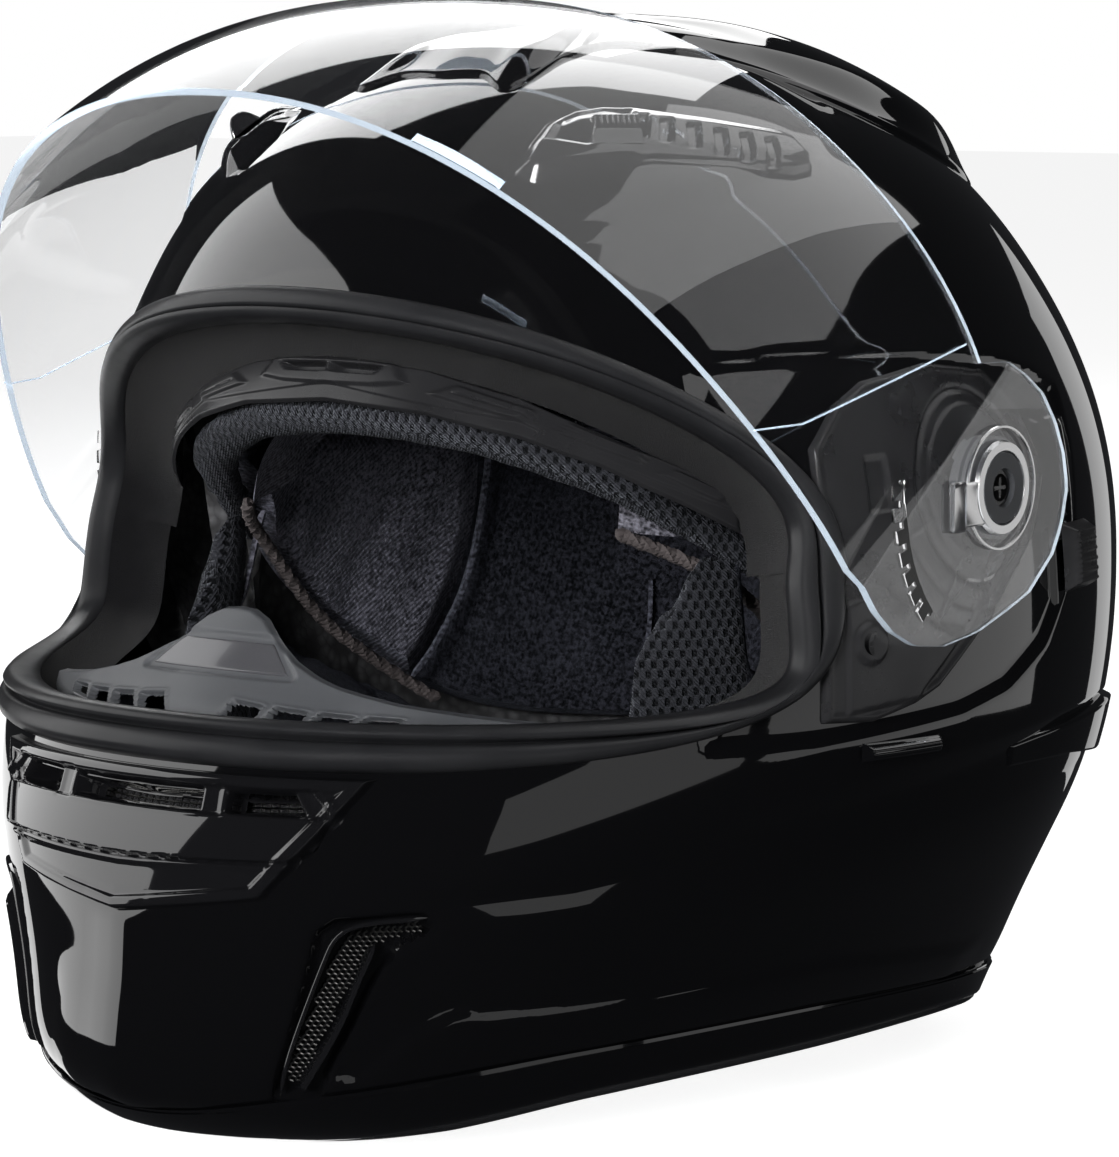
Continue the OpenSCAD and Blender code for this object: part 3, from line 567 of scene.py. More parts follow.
GLOWING_EDGE.set(base=GLOWING_EDGE.mix(GLOWING_EDGE.noise(60), (0.5, 0.6, 0.72), (0.7, 0.8, 0.9)),
         rough=GLOWING_EDGE.ramp(GLOWING_EDGE.noise(300), 0.15, 0.3), transmission=0.7, ior=1.49, glow=0.03,
         glow_color=(0.7, 0.8, 0.92, 1.0))
GLOWING_EDGE = GLOWING_EDGE.mat
TWILL = knit("brushed_twill_lining", (0.021, 0.021, 0.026), 1.3, 62, 0.05, 0.45)
# Liner twill made lighter for the flap: painted light standing in for the light that falls on the flap; its
# ribs also run at another angle.
LIT_FLAP_TWILL = knit("flap_twill_painted_light", (0.03, 0.0295, 0.035), 1.2, 75, 0.06, 0.4)
FLEECE = knit("fleece_lining", (0.0052, 0.0054, 0.007), 1.1, 20, 0.05, 0.85)
RIBBED = knit("ribbed_lining", (0.012, 0.0125, 0.016), 1.9, 90, 0.05, 0.25)
MESH = spacer("spacer_mesh_lining", (0.0058, 0.006, 0.0072))
FELT = felt("black_felt", (0.0028, 0.0028, 0.0032))
WEB = webbing("chin_strap_webbing", (0.018, 0.018, 0.019))
CORD = moulded("piping_thread", (0.028, 0.024, 0.024), 0.75, 2200, 0.0002, 0.4, strength=0.8)


# ---- Shell ----

BELT_A = [(28, 66), (37, 69.5), (50, 77), (64, 83), (84, 88), (108, 91), (124, 91.5)]
BELT_B = [(28, 61), (37, 62.5), (56, 73.5), (75, 78), (110, 87.5), (124, 89)]
BELT_C = [(28, 56), (37, 58), (64, 64), (112, 74), (126, 76)]
SWAGE = [(28, 33), (36, 33), (70, 35), (102, 29.5)]
POCKET = [(50, 186), (62, 188), (84, 186), (100, 183), (108, 179), (114, 174), (113, 160), (110, 140),
          (106, 124), (101, 112), (93, 103), (84, 99), (62, 96), (50, 96)]
CREASE = [(34, 216), (46, 224), (66, 232), (97, 244)]
SIDE_RECESS = [(18, 57), (24.5, 58), (25.5, 54), (22.5, 50), (20.5, 40), (17.5, 22), (16, 13),
               (12.5, 12), (14, 25), (15.5, 42), (16.5, 54)]
SIDE_LEDGE = [(18, 54), (15, 18), (19, 16), (23, 27), (28, 34)]
COVER = [(-21, 91), (21, 91), (12.5, 61.5), (0, 56), (-12.5, 61.5)]


def relief(u, z):
    """How far the painted surface stands off the plain shell."""
    a = np.abs(u)
    za, zb, zc = line(BELT_A, a), line(BELT_B, a), line(BELT_C, a)
    front = smooth((a - 22) / 12) * smooth((118 - z) / 14) + smooth((a - 44) / 12) * smooth((z - 104) / 14)
    high = 1.6 * np.clip(front, 0, 1) * smooth((240 - z) / 56) * smooth((165 - a) / 25)
    high = high * smooth((distance(a, z, POCKET) + 1.2) / 3.6)
    amp = smooth((a - 22) / 12) * smooth((140 - a) / 16)
    down = np.where(z > zb, 1.6 - 2.0 * (za - z) / (za - zb),
                    np.where(z > zc, -0.4 + 1.2 * (zb - z) / (zb - zc),
                             0.8 * smooth(1 - (zc - z) / 25)))
    h = np.where(z >= za, high, down * amp)
    zs = line(SWAGE, a)
    h = h + (1.0 * smooth((zs - z) / 2.2) * smooth((z - zs + 18) / 14)
             * smooth((a - 22) / 8) * smooth((112 - a) / 12))
    zk = line(CREASE, a)
    h = h + (1.1 * smooth((z - zk + 1) / 3.4) * smooth((zk + 34 - z) / 26)
             * smooth((a - 30) / 8) * smooth((104 - a) / 14))
    keel = np.maximum(0, 1 - a / 3.2) * smooth((58 - z) / 4) * smooth((z - 2) / 10)
    facet = smooth((9 - a) / 3) * smooth((44 - z) / 12) * smooth((z - 4) / 8)
    d = distance(a, z, SIDE_RECESS)
    h = h + 1.0 * keel + 0.5 * facet - 3.0 * smooth((0.8 - d) / 1.4)
    ledge = distance(a, z, SIDE_LEDGE)
    return h - 1.5 * smooth((0.6 - ledge) / 1.6) * smooth((d - 0.2) / 1.2)


def shell():
    """Painted shell with its belt lines, recesses and openings."""
    dense = np.arange(8, 30, 0.45)
    half = np.concatenate([np.arange(0, 8, 0.8), dense, np.arange(30, 46, 0.8), np.arange(46, 84, 1.0),
                           np.arange(84, 118, 0.7), np.arange(118, 180, 1.5)])
    us = np.concatenate([-180 * np.ones(1), -half[::-1][:-1], half])
    a = np.abs(us)
    low = curve(LIP_HIGH, a) - 1.2
    marks = [(low, 0), (line(BELT_C, a), 36), (line(BELT_B, a), 5), (line(BELT_A, a), 5),
             (np.full_like(a, 112.0), 18), (np.full_like(a, 200.0), 62)]
    rows = [low]
    for (z0, _), (z1, n) in zip(marks, marks[1:]):
        rows += [z0 + (z1 - z0) * k / n for k in range(1, n + 1)]
    start = math.degrees(math.asin((200 - WAIST) / HALF_H))
    for w in np.linspace(start, 89.4, 46)[1:]:
        rows.append(np.full_like(a, WAIST + HALF_H * math.sin(math.radians(w))))
    z = np.stack(rows, 1)
    u = np.repeat(us[:, None], z.shape[1], 1)
    p = skin(u, z, relief(u, z))
    z2, turn = z + np.roll(z, -1, 0), np.roll(u, -1, 0) - u
    centre_z = z2[:, :-1] / 4 + z2[:, 1:] / 4
    centre_u = u[:, :-1] + 0.5 * turn[:, :-1] * (np.abs(turn[:, :-1]) < 90)
    keep = ~in_port(centre_u, centre_z, 8.0) & (distance(centre_u, centre_z, COVER) > -3.5)
    sheet("shell_painted", p, GLOSS, loop=True, keep=keep, cap=True, angle=80, instead=["outer_shell"],
          slot="gloss_black")


def lip():
    """Flared bottom band in gloss, with a rubber bead closing it underneath."""
    us = np.linspace(-180, 180, 361)[:-1]
    a = np.abs(us)
    low, high, flare = lip_low(us), curve(LIP_HIGH, a), curve(LIP_FLARE, a)

    def level(o, z):
        n = normal(us, z)
        flat = unit(n * [1, 1, 0])
        return skin0(us, z) + np.asarray(o, float)[..., None] * flat

    parts = [level(np.full_like(a, 0.1), high - 0.6), level(np.full_like(a, 0.9), high - 0.2),
             level(np.full_like(a, 1.5), high - 1.4)]
    for t in np.linspace(0.12, 1, 14):
        bow = flare - (flare - 1.6) * (1 - t ** 1.7)
        parts.append(level(bow, high + (low + 4.2 - high) * t))
    parts += [level(flare + 0.05, low + 3.4), level(flare - 0.5, low + 2.9)]
    band = np.stack(parts, 1)
    sheet("lip_gloss_band", band[:, ::-1], GLOSS, loop=True, angle=40, instead=["lower_edge_trim"],
          slot="gloss_black")
    w = np.radians(np.linspace(-60, 200, 12))
    bead = [level(flare - 2.3 + 2.5 * math.cos(k), np.maximum(low + 1.9 - 1.9 * math.sin(k), low)) for k in w]
    bead += [level(-6.8 + 0 * a, low + 0.6), level(-8.4 + 0 * a, low + 3), level(-8.8 + 0 * a, low + 10.8),
             level(-4.2 + 0 * a, low + 10.9)]
    sheet("lip_rubber_bead", np.stack(bead, 1), RUBBER, loop=True, angle=50, slot="gasket_rubber")


GASKET = [(0.6, -5.6), (-1.2, -5.7), (-3.8, -5.6), (-4.9, -4.8), (-5.0, -2.2), (-4.7, 0.4), (-4.2, 1.6),
          (-3.2, 2.5), (-1.6, 3.1), (-0.2, 3.3), (1.0, 3.0), (1.8, 2.2), (2.3, 1.2), (2.7, 0.9),
          (3.2, 1.1), (3.7, 1.9), (4.6, 2.7), (6.2, 3.2), (8.2, 3.4), (10.0, 3.15), (11.2, 2.4),
          (11.8, 1.2), (12.0, 0.2), (12.0, -0.9)]


def gasket():
    """Rubber seal round the eyeport, with a groove behind its outer bead."""
    w = np.linspace(0, 360, 289)[:-1]
    h = (3.2 - 0.9 * np.sin(np.radians(w))) / 3.2
    inner, outer, rings = lip_inset(w) + 5, dict(top_corner=3.6, low_corner=3.2), []
    for x, y in GASKET:
        b = y * h if y > 0 else np.full_like(w, y)
        k = smooth((x + 2) / 14)
        near = port_frame(w, x + inner * (12 - x) / 17, b)
        rings.append(near + (port_frame(w, np.full_like(w, x), b, **outer) - near) * k)
    rings = np.stack(rings, 1)
    sheet("eyeport_gasket_rubber", rings, RUBBER, loop=True, angle=60, flip=True, instead=["eyeport_gasket"],
          slot="gasket_rubber")


# ---- Shield ----

PIVOT_Z = 154
PIVOT_U, PIVOT_DEGREE = 88, 2.28     # angle of the pivot, and mm in one degree there
PIVOT = np.array([0, 5 + Y_SHIFT, PIVOT_Z + RIM_H])
SHEET, SHIELD_X, OPEN = 2.2, 137.2, 51
ARM = [(-22, -59, 23), (-14, -59, 27), (-5, -57, 30), (5, -52, 30), (14, -43, 28), (22, -30, 24),
       (28, -15, 16), (31, -6, 8)]


def closed_front(u, z, o):
    """Curved front of the shut shield, o outside its outer face."""
    k = smooth((78 - np.abs(u)) / 30)
    arc = 210 - np.sqrt(210 ** 2 - (z - PIVOT_Z) ** 2)
    w = SHIELD_X + o - k * (1.6 + arc * np.where(z > PIVOT_Z, 1, 0.2))
    r_front = 174 + 2 + o - 196 + np.sqrt(196 ** 2 - (z - 64) ** 2)
    cu, su = np.abs(np.cos(np.radians(u))), np.abs(np.sin(np.radians(u)))
    r = ((cu / r_front) ** 2.18 + (su / w) ** 2.18) ** (-1 / 2.18)
    return np.stack([r * np.sin(np.radians(u)), PIVOT[1] - r * np.cos(np.radians(u)), z + RIM_H], -1)


def opened(p):
    """Points of the shut shield, turned to where they are at rest."""
    c, s = math.cos(math.radians(OPEN)), math.sin(math.radians(OPEN))
    q = p - PIVOT
    return PIVOT * [0, 1, 1] + np.stack([p[..., 0], q[..., 1] * c + q[..., 2] * s,
                                         -q[..., 1] * s + q[..., 2] * c], -1)


def shield_low(u):
    """Height of the shut shield's lower edge."""
    return 101 - 5 * (u / DROP_AT) ** 2


def arm_columns(side, o, n=26, m=40):
    """Flat arm of the shield, o outside its outer face."""
    ys = np.linspace(-22, 31, n)
    t = np.linspace(0, 1, m)
    k = np.array(ARM, float)
    lo = np.interp(ys, k[:, 0], k[:, 1])
    hi = np.interp(ys, k[:, 0], k[:, 2])
    z = PIVOT_Z + lo[:, None] + (hi - lo)[:, None] * t
    return np.stack([np.full_like(z, side * (SHIELD_X + o)), PIVOT[1] + np.repeat(ys[:, None], m, 1),
                     z + RIM_H], -1)


def shield():
    """Clear sheet with its arms, mould lines and pivot rings; its cut rim and mould lines carry a painted
    glow.
    """
    m = 40
    t = np.linspace(0, 1, m)
    u = np.linspace(-78, 78, 150)[:, None]
    lo, hi = shield_low(u), 197 - 20 * (u / DROP_AT) ** 2
    z = lo + (hi - lo) * t
    grids = []
    for o in (0.0, -SHEET):
        front = closed_front(u, z, o)
        grids.append(opened(np.concatenate([arm_columns(-1, o)[::-1], front, arm_columns(1, o)])))
    clear_part = dict(body="shield", shadow=False, slot="clear_shield")
    # The sheet's cut rim takes the glowing edge material: painted glow along its edge.
    slab("shield_sheet", grids[0], grids[1], [CLEAR, GLOWING_EDGE], rim_slot=1, angle=40, instead=["shield"],
         **clear_part)
    for side in (-1, 1):
        zs = np.linspace(96.4, 168, 30)
        p = opened(closed_front(side * line([(96, 60), (109, 64), (136, 69), (168, 75)], zs), zs, 0.1))
        # Mould lines in the glowing edge material: a real thin ridge carrying a painted glow.
        tube("shield_mould_line_" + "RL"[side > 0], p, 0.24, GLOWING_EDGE, sides=6, **clear_part)
        ring = PIVOT * [0, 1, 1] + np.array([side * (SHIELD_X + 0.1), 0, 0])
        w = np.radians(np.linspace(0, 360, 49)[:-1])
        for r, width, height in ((10.6, 1.5, 1.2), (15.5, 0.4, 0.5)):
            rings = [np.stack([np.full_like(w, ring[0] + side * x), ring[1] + (r + y) * np.cos(w),
                               ring[2] + (r + y) * np.sin(w)], -1)
                     for y, x in ((-width, 0), (-width * 0.7, height), (width * 0.7, height), (width, 0))]
            sweep(f"shield_ring_{'RL'[side > 0]}_{int(r)}", np.stack(rings, 1), RIM, loop=True,
                  flip=side < 0, **clear_part)


def thumb_tab():
    """Moulded lip on the shield's lower edge, to the left of its middle, for opening it."""
    us = np.linspace(21.3, 29.6, 25)
    f = np.sin(np.pi * np.linspace(0, 1, 25)) ** 0.5
    lo = shield_low(us)
    profile = [(-0.2, 0.05), (-0.5, 1.6), (0.4, 2.1), (1.4, 2.0), (2.2, 1.2), (2.8, 0.05),
               (2.2, -0.3), (0.2, -0.3)]
    rings = np.stack([opened(closed_front(us, lo + z + 0.4, x * f + 0.02)) for z, x in profile], 1)
    # The tab takes the glowing edge material: painted glow.
    sweep("shield_thumb_tab", rings, GLOWING_EDGE, angle=30, body="shield", shadow=False, slot="clear_shield")


# ---- Pieces that follow the surface ----

def field(name, low, high, nu, nz, offset, mat, side=1, keep=None, angle=80, **kw):
    """Sheet over the shell between the lines low and high, each a list of (u, z) points."""
    us = np.linspace(low[0][0], low[-1][0], nu)
    lo, hi = line(low, us), line(high, us)
    z = lo[:, None] + (hi - lo)[:, None] * np.linspace(0, 1, nz)
    u = np.repeat(us[:, None], nz, 1)
    p = skin(u * side, z, offset(u, z))
    k = None
    if keep is not None:
        k = keep((u[1:, 1:] + u[:-1, :-1]) / 2, (z[1:, 1:] + z[:-1, :-1]) / 2)
    return sheet(name, p, mat, keep=k, flip=side < 0, angle=angle, **kw)


def rounded(path, rounds):
    """The path with its corners cut off, rounds times."""
    p = np.array(path, float)
    for _ in range(rounds):
        q = [p[0]]
        for a, b in zip(p, p[1:]):
            q += [a * 0.75 + b * 0.25, a * 0.25 + b * 0.75]
        p = np.array(q + [p[-1]])
    return p


def oval(step, px, py):
    """(x, y) round a squared-off circle of radius 1, every step degrees."""
    for w in np.radians(np.arange(0, 360, step)):
        c, s = math.cos(w), math.sin(w)
        yield np.sign(c) * abs(c) ** px, np.sign(s) * abs(s) ** py


def way(path, step=1.5):
    """(u, z) points evenly spaced along a smoothed line."""
    p = rounded(path, 2)
    d = np.concatenate([[0], np.cumsum(np.hypot(np.diff(p[:, 0]) * DEGREE, np.diff(p[:, 1])))])
    s = np.linspace(0, d[-1], max(3, int(d[-1] / step) + 1))
    return np.interp(s, d, p[:, 0]), np.interp(s, d, p[:, 1])


def ribbon(name, path, section, mat, side=1, depth=0.0, step=1.5, **kw):
    """Closed strip along a line on the shell; section(f) gives (x across, y off the surface)."""
    u, z = way(path, step)
    u = u * side
    p = skin(u, z, np.full(len(u), float(depth)))
    n = normal(u, z)
    t = unit(np.gradient(p, axis=0))
    g = np.cross(t, n) * side
    f = np.linspace(0, 1, len(u))
    prof = np.array([section(x) for x in f], float)
    rings = p[:, None] + prof[..., :1] * g[:, None] + prof[..., 1:] * n[:, None]
    return sweep(name, rings, mat, flip=side < 0, **kw)


def bead(width, height, low):
    """Rounded section that narrows at both ends."""
    def section(f):
        k = max(min(1, f / 0.04, (1 - f) / 0.04) ** 0.5, 0.05)
        w, h = width / 2 * k, height * k
        return [(-w, low), (-w, h * 0.35), (-w * 0.6, h * 0.85), (0, h), (w * 0.6, h * 0.85),
                (w, h * 0.35), (w, low)]
    return section


def mirrored(half):
    """Line from -u to +u, given from u = 0 outwards."""
    return [(-u, z) for u, z in half[:0:-1]] + half


def inside(polygon, u, z, soft, per_degree=DEGREE, grow=0.0):
    """1 inside the polygon, 0 outside, with a slope of the width soft."""
    return smooth((grow + soft / 2 - distance(u, z, polygon, per_degree)) / soft)


# ---- Chin vents ----

SLOTS = [[(-15.4, 82), (-9, 82), (-9, 86.4), (-14.4, 86.4)],
         [(-6.6, 82), (6.6, 82), (6.6, 86.4), (-6.6, 86.4)],
         [(9, 82), (15.4, 82), (14.4, 86.4), (9, 86.4)]]


def chin_vent():
    hood = [(-16.6, 74), (-14.5, 71), (0, 70), (14.5, 71), (16.6, 74), (17.2, 81), (-17.2, 81)]
    arch = [(-17.4, 73), (-14.6, 69.6), (0, 68.6), (14.6, 69.6), (17.4, 73), (18.2, 82), (16, 88.6),
            (-16, 88.6), (-18.2, 82)]

    def offset(u, z):
        d = -distance(u, z, COVER)
        h = -0.5 + 2.7 * smooth((d + 0.3) / 1.5) + 1.0 * smooth((d - 0.5) / 0.9) * smooth((4.2 - d) / 1.2)
        h = h + 0.8 * ridge(distance(u, z, arch), 0.8) * (1 - 0.6 * smooth((z - 84) / 3))
        h = h + inside(hood, u, z, 0.9) * (0.1 + 2.3 * np.clip((81.5 - z) / 11, 0, 1))
        h = h - inside(arch, u, z, 1.0, grow=-1.2) * (1 - inside(hood, u, z, 0.9)) * 0.9
        for s in SLOTS:
            k = inside(s, u, z, 0.7)
            h = h + 0.5 * ridge(distance(u, z, s) - 0.9, 0.5)
            h = h * (1 - k) - 7 * k
        return h + 0.5 * np.maximum(0, 1 - np.abs(u) / 3) * smooth((64 - z) / 5)

    low = [(-21.4, 91), (-12.6, 61.3), (0, 55.8), (12.6, 61.3), (21.4, 91)]
    high = [(-21.4, 91.3), (21.4, 91.3)]
    field("chin_vent_hood", low, high, 240, 90, offset, TRIM,
          keep=lambda u, z: ~(sum(inside(s, u, z, 0.2, grow=-0.9) for s in SLOTS) > 0.5),
          instead=["chin_vent_cover"], slot="gloss_trim")

    def gate(u, z):
        return -2.2 + 0.5 * np.sin((z - 71.5) * 2 * math.pi / 1.75) * smooth((12 - np.abs(u)) / 2)

    field("chin_vent_gate_slide", [(-12, 71.5), (12, 71.5)], [(-12, 78.5), (12, 78.5)], 60, 40, gate, MATTE,
          body="chin_vent_gate", instead=["chin_vent_gate"], slot="grey_plastic")
    s = []
    for z in np.arange(79, 90, 1.35):
        for u in np.arange(-15, 15, 0.8):
            s.append([skin(u, z, -8), skin(u + 0.8, z, -8)])
            s.append([skin(u, z, -8.1), skin(u, z + 1.35, -8.1)])
    wires("chin_filter_gauze", s, 0.22, WIRE, sides=4, instead=["chin_vent_filter"], slot="steel_mesh")
    field("chin_filter_backing", [(-16, 78), (16, 78)], [(-16, 91), (16, 91)], 24, 8,
          lambda u, z: -10.5 + 0 * u, MATTE, slot="matte_black")


SIDE_MESH = [(13.8, 17), (15.6, 31), (17.6, 46), (19, 52.5), (20.6, 54.6), (24.6, 56.2), (24.6, 54.4),
             (22, 53), (20.8, 50.5), (19, 42), (17, 30), (14.9, 16.5)]


def side_vent(side):
    tag = "LR"[side < 0]
    s = []
    pitch, per = 1.55, 2.75
    for j in range(40):
        z = 14 + j * pitch * 0.75
        for i in range(26):
            x = (i + 0.5 * (j % 2)) * pitch * 0.866 + 12.5 * per
            if distance(x / per, z, SIDE_MESH, per) > 0.1:
                continue
            a, b, d = [(x + pitch / 2 * math.cos(w), z + pitch / 2 * math.sin(w))
                       for w in (math.radians(90), math.radians(150), math.radians(210))]
            for p, q in ((a, b), (b, d), (d, (d[0] + pitch * 0.433, d[1] - pitch * 0.25))):
                s.append([skin(p[0] / per * side, p[1], -0.7), skin(q[0] / per * side, q[1], -0.7)])
    wires(f"side_vent_wire_mesh_{tag}", s, 0.25, WIRE, sides=5, instead=[f"side_vent_mesh_{tag}"],
          slot="steel_mesh")

    def blade(f):
        k = min(1, f / 0.08, (1 - f) / 0.05) ** 0.5
        w, h = (0.9 + 0.5 * f) * max(k, 0.1), 2.7 * max(k, 0.1)
        return [(-w, -3.4), (-w, h * 0.2), (-w * 0.5, h), (w * 0.6, h * 0.85), (w, h * 0.2), (w, -3.4)]

    ribbon(f"side_vent_blade_gloss_{tag}", [(20.9, 51.5), (19.6, 44), (17.6, 29), (14.6, 15)], blade, TRIM,
           side, instead=[f"side_vent_blade_{tag}"], angle=40, slot="gloss_trim")
    ribbon(f"side_vent_lip_{tag}", [(13.2, 14), (14.8, 30), (16.8, 46), (18, 54), (20.2, 56.6), (25, 57.6)],
           bead(1.3, 1.0, -2.5), TRIM, side, instead=[f"side_vent_frame_{tag}"], angle=50,
           slot="gloss_black")


# ---- Forehead vents, fairing, rear grille, wing blocks ----

POD_LOW = [(27.6, 232.5), (30, 230.3), (34, 229.8), (48, 233), (60, 232), (72, 230), (76.5, 231), (78.4, 234)]
POD_HIGH = [(27.6, 234), (29, 240), (31, 245), (36, 248.2), (41, 249.2), (46, 249), (60, 246.4), (74, 243.2),
            (77, 241.5), (78.4, 236)]
WINDOW = [(32, 238.5), (34, 245), (41, 247.6), (46, 245.4), (43.5, 238.5), (38, 237)]


def forehead_pod(side):
    tag = "LR"[side < 0]
    outline = POD_LOW + POD_HIGH[::-1]

    def offset(u, z):
        d = -distance(u, z, outline, 1.5)
        h = -0.4 + 4.6 * smooth((d + 0.4) / 5.5) ** 0.8
        k = inside(WINDOW, u, z, 1.6, 1.5)
        h = h + 0.5 * ridge(distance(u, z, WINDOW, 1.5), 0.8) - 1.3 * k
        h = h + 0.45 * ridge(d - 2.4, 0.7) * smooth((u - 44) / 3)
        for fu, fz in ((47, 241.4), (51, 240.4), (55.5, 239.2), (60, 237.8), (64.5, 236.6), (69, 235.4)):
            fin = [(fu - 1.8, fz - 2.6), (fu - 0.6, fz + 2.6), (fu + 1.6, fz + 2.8), (fu + 0.2, fz - 2.8)]
            h = h - 1.3 * inside(fin, u, z, 0.8, 1.5)
        return h

    field(f"forehead_pod_{tag}", POD_LOW, POD_HIGH, 170, 60, offset, TRIM, side,
          instead=[f"forehead_vent_{tag}"], slot="gloss_trim")


def button(name, low, high, base, height, ribs, across, mat, body, node, side, edge=2.0):
    """Rounded push piece with raised ribs, closed down to its base."""
    outline = low + high[::-1]

    def offset(u, z):
        d = -distance(u, z, outline)
        h = base + height * smooth((d + 0.05) / edge) ** 0.55
        v = z if across else u * DEGREE
        return h + 0.35 * smooth((d - 1.4) / 1.0) * np.maximum(0, np.sin(v * 2 * math.pi / ribs)) ** 0.7

    o = field(name, low, high, 56, 56, offset, mat, side, body=body, instead=[node])
    return o


def fairing():
    """Raised cover over the crown that ends in the spoiler."""
    edge = [(0, 256), (8, 256.2), (14, 255.6), (20, 252.5), (24, 254), (32, 260.6), (50, 264), (75, 262),
            (100, 255), (120, 240.5), (137, 228.5), (150, 222.5), (180, 219.5)]
    us = np.linspace(-180, 180, 241)[:-1]
    a = np.abs(us)
    e = curve(edge, a)
    start = np.arcsin((e - WAIST) / HALF_H)
    t = np.linspace(0, 1, 70) ** 1.25
    w = start[:, None] + (math.radians(89.5) - start)[:, None] * t
    z = WAIST + HALF_H * np.sin(w)
    u = np.repeat(us[:, None], len(t), 1)
    d = (w - start[:, None]) * 118
    spoiler = smooth((a - 100) / 25)[:, None]
    h = -0.3 + 1.5 * smooth(d / 2.2) + (3.6 + 3.0 * spoiler) * smooth(d / 19)
    h = h + 0.6 * ridge(a[:, None] - 34 - d * 0.9, 3.2) * smooth(d / 8) * smooth((60 - d) / 20)
    h = h * (1 - 0.25 * smooth((d - 40) / 30))
    p = skin(u, z, h)
    sheet("crown_fairing_gloss", p, GLOSS, loop=True, cap=True, angle=80, instead=["crown_fairing"],
          slot="gloss_black")


def rear_grille():
    def offset(u, z):
        d = np.minimum(np.minimum((u - 152) * 1.6, (208 - u) * 1.6), np.minimum(z - 203, 218 - z))
        k = smooth((d - 1.2) / 0.8)
        louver = np.mod((z - 203) / 3.4, 1)
        bars = smooth((np.abs(np.mod(u, 9.33) - 4.66) - 3.9) / 0.5)
        return -0.2 + 2.6 * smooth(d / 1.0) - k * (1 - bars) * 2.2 * louver
    field("rear_grille_louvers", [(152, 203), (208, 203)], [(152, 218), (180, 219.5), (208, 218)], 160, 60,
          offset, MATTE, instead=["rear_exhaust_grille"], slot="matte_black")


def wing(side):
    tag = "LR"[side < 0]
    low = [(95.6, 79), (112, 78), (126, 75), (130.4, 76.5), (131.4, 79)]
    high = [(95.6, 86), (112, 89), (124, 91), (130.4, 90.2), (131.4, 88)]

    def offset(u, z):
        d = -distance(u, z, low + high[::-1])
        t = smooth((u - 96) / 28)
        return -0.5 + (1.0 + 3.2 * t) * smooth((d + 0.2) / 1.5)
    field(f"wing_block_gloss_{tag}", low, high, 90, 30, offset, GLOSS, side, instead=[f"wing_block_{tag}"],
          slot="gloss_black")


# ---- Shield mechanism ----

PLATE_LOW = [(63, 99), (70, 98), (76, 101), (80, 104.5), (88, 118), (93, 129), (98, 138), (103, 154)]
PLATE_HIGH = [(63, 166), (67, 176), (72, 181.5), (84, 185), (95, 182.5), (100, 174), (103, 158)]


def base_plate(side):
    """Plate under the shield arm, with ribs, a catch pocket and a screw pad."""
    tag = "LR"[side < 0]
    outline = PLATE_LOW + PLATE_HIGH[::-1]
    lug = [(66, 101), (76, 103), (83, 116), (78, 121), (71, 131), (66, 128)]
    pocket = [(84, 118), (91, 131), (96, 141), (90, 139), (83, 128), (79, 121)]
    notch = [(70, 150), (73, 150), (73, 163), (70, 163)]

    def offset(u, z):
        d = -distance(u, z, outline)
        x, y = (u - PIVOT_U) * PIVOT_DEGREE, z - PIVOT_Z
        r = np.hypot(x, y)
        h = -0.3 + 1.8 * smooth((d + 0.3) / 1.2) + 0.5 * ridge(d - 1.6, 0.9)
        h = (h + 0.9 * inside(lug, u, z, 0.9) - 0.9 * inside(pocket, u, z, 1.0)
             - 1.1 * inside(notch, u, z, 0.8))
        h = h - 0.8 * ridge(r - 24, 0.9) + 0.7 * smooth((20.5 - r) / 0.9)
        h = h - 0.5 * ridge(r - 31, 0.6) * smooth((150 - z) / 6)
        for a in (200, 238, 270, 305):
            c, s = math.cos(math.radians(a)), math.sin(math.radians(a))
            across, along = x * s - y * c, x * c + y * s
            h = h + 0.45 * ridge(across, 0.45) * smooth((along - 20) / 2) * smooth((40 - along) / 4)
        screw = np.hypot((u - 69) * PIVOT_DEGREE, z - 118)
        return h + 0.9 * smooth((5.4 - screw) / 0.8)

    field(f"shield_mechanism_{tag}", PLATE_LOW, PLATE_HIGH, 150, 120, offset, SATIN, side,
          instead=[f"shield_base_plate_{tag}"], slot="matte_black")


def latch(side):
    """Square catch moulded on the shield between its teeth and the pivot."""
    tag = "LR"[side < 0]
    x0, x1 = SHIELD_X - 0.2, SHIELD_X + 1.0
    for k, (y, z, w, h) in enumerate(((-19.5, -3.5, 3.2, 6.4), (-12.6, -3.2, 5.4, 5.6))):
        rings = []
        for x, g in ((x0, 0), (x1 - 0.4, 0), (x1, 0.5)):
            a = np.radians(np.arange(45, 405, 15))
            c, s = np.cos(a), np.sin(a)
            q = 0.2
            yy = np.sign(c) * np.abs(c) ** q * (w - g)
            zz = np.sign(s) * np.abs(s) ** q * (h - g)
            rings.append(np.stack([np.full_like(a, side * x), PIVOT[1] + y + yy, PIVOT[2] + z + zz], -1))
        sweep(f"shield_catch_{tag}_{k}", np.stack(rings), RIM, flip=side < 0, body="shield", shadow=False,
              slot="clear_shield")


def visor_track():
    slot = [(106.2, 137), (109.2, 165), (111.8, 165), (109.2, 137)]
    low, high = [(104, 118), (114.5, 118)], [(104, 169), (114.5, 169)]

    def offset(u, z):
        d = np.minimum(np.minimum((u - 104) * 2.3, (114.5 - u) * 2.3), np.minimum(z - 118, 169 - z))
        h = 1.45 - 1.7 * smooth((2.2 - d) / 2.2)
        return h - 3.6 * inside(slot, u, z, 0.9) + 0.25 * ridge(distance(u, z, slot) - 1.2, 0.6)
    field("visor_slider_track", low, high, 50, 130, offset, GLOSS, instead=["visor_slider_bezel"],
          slot="gloss_trim")


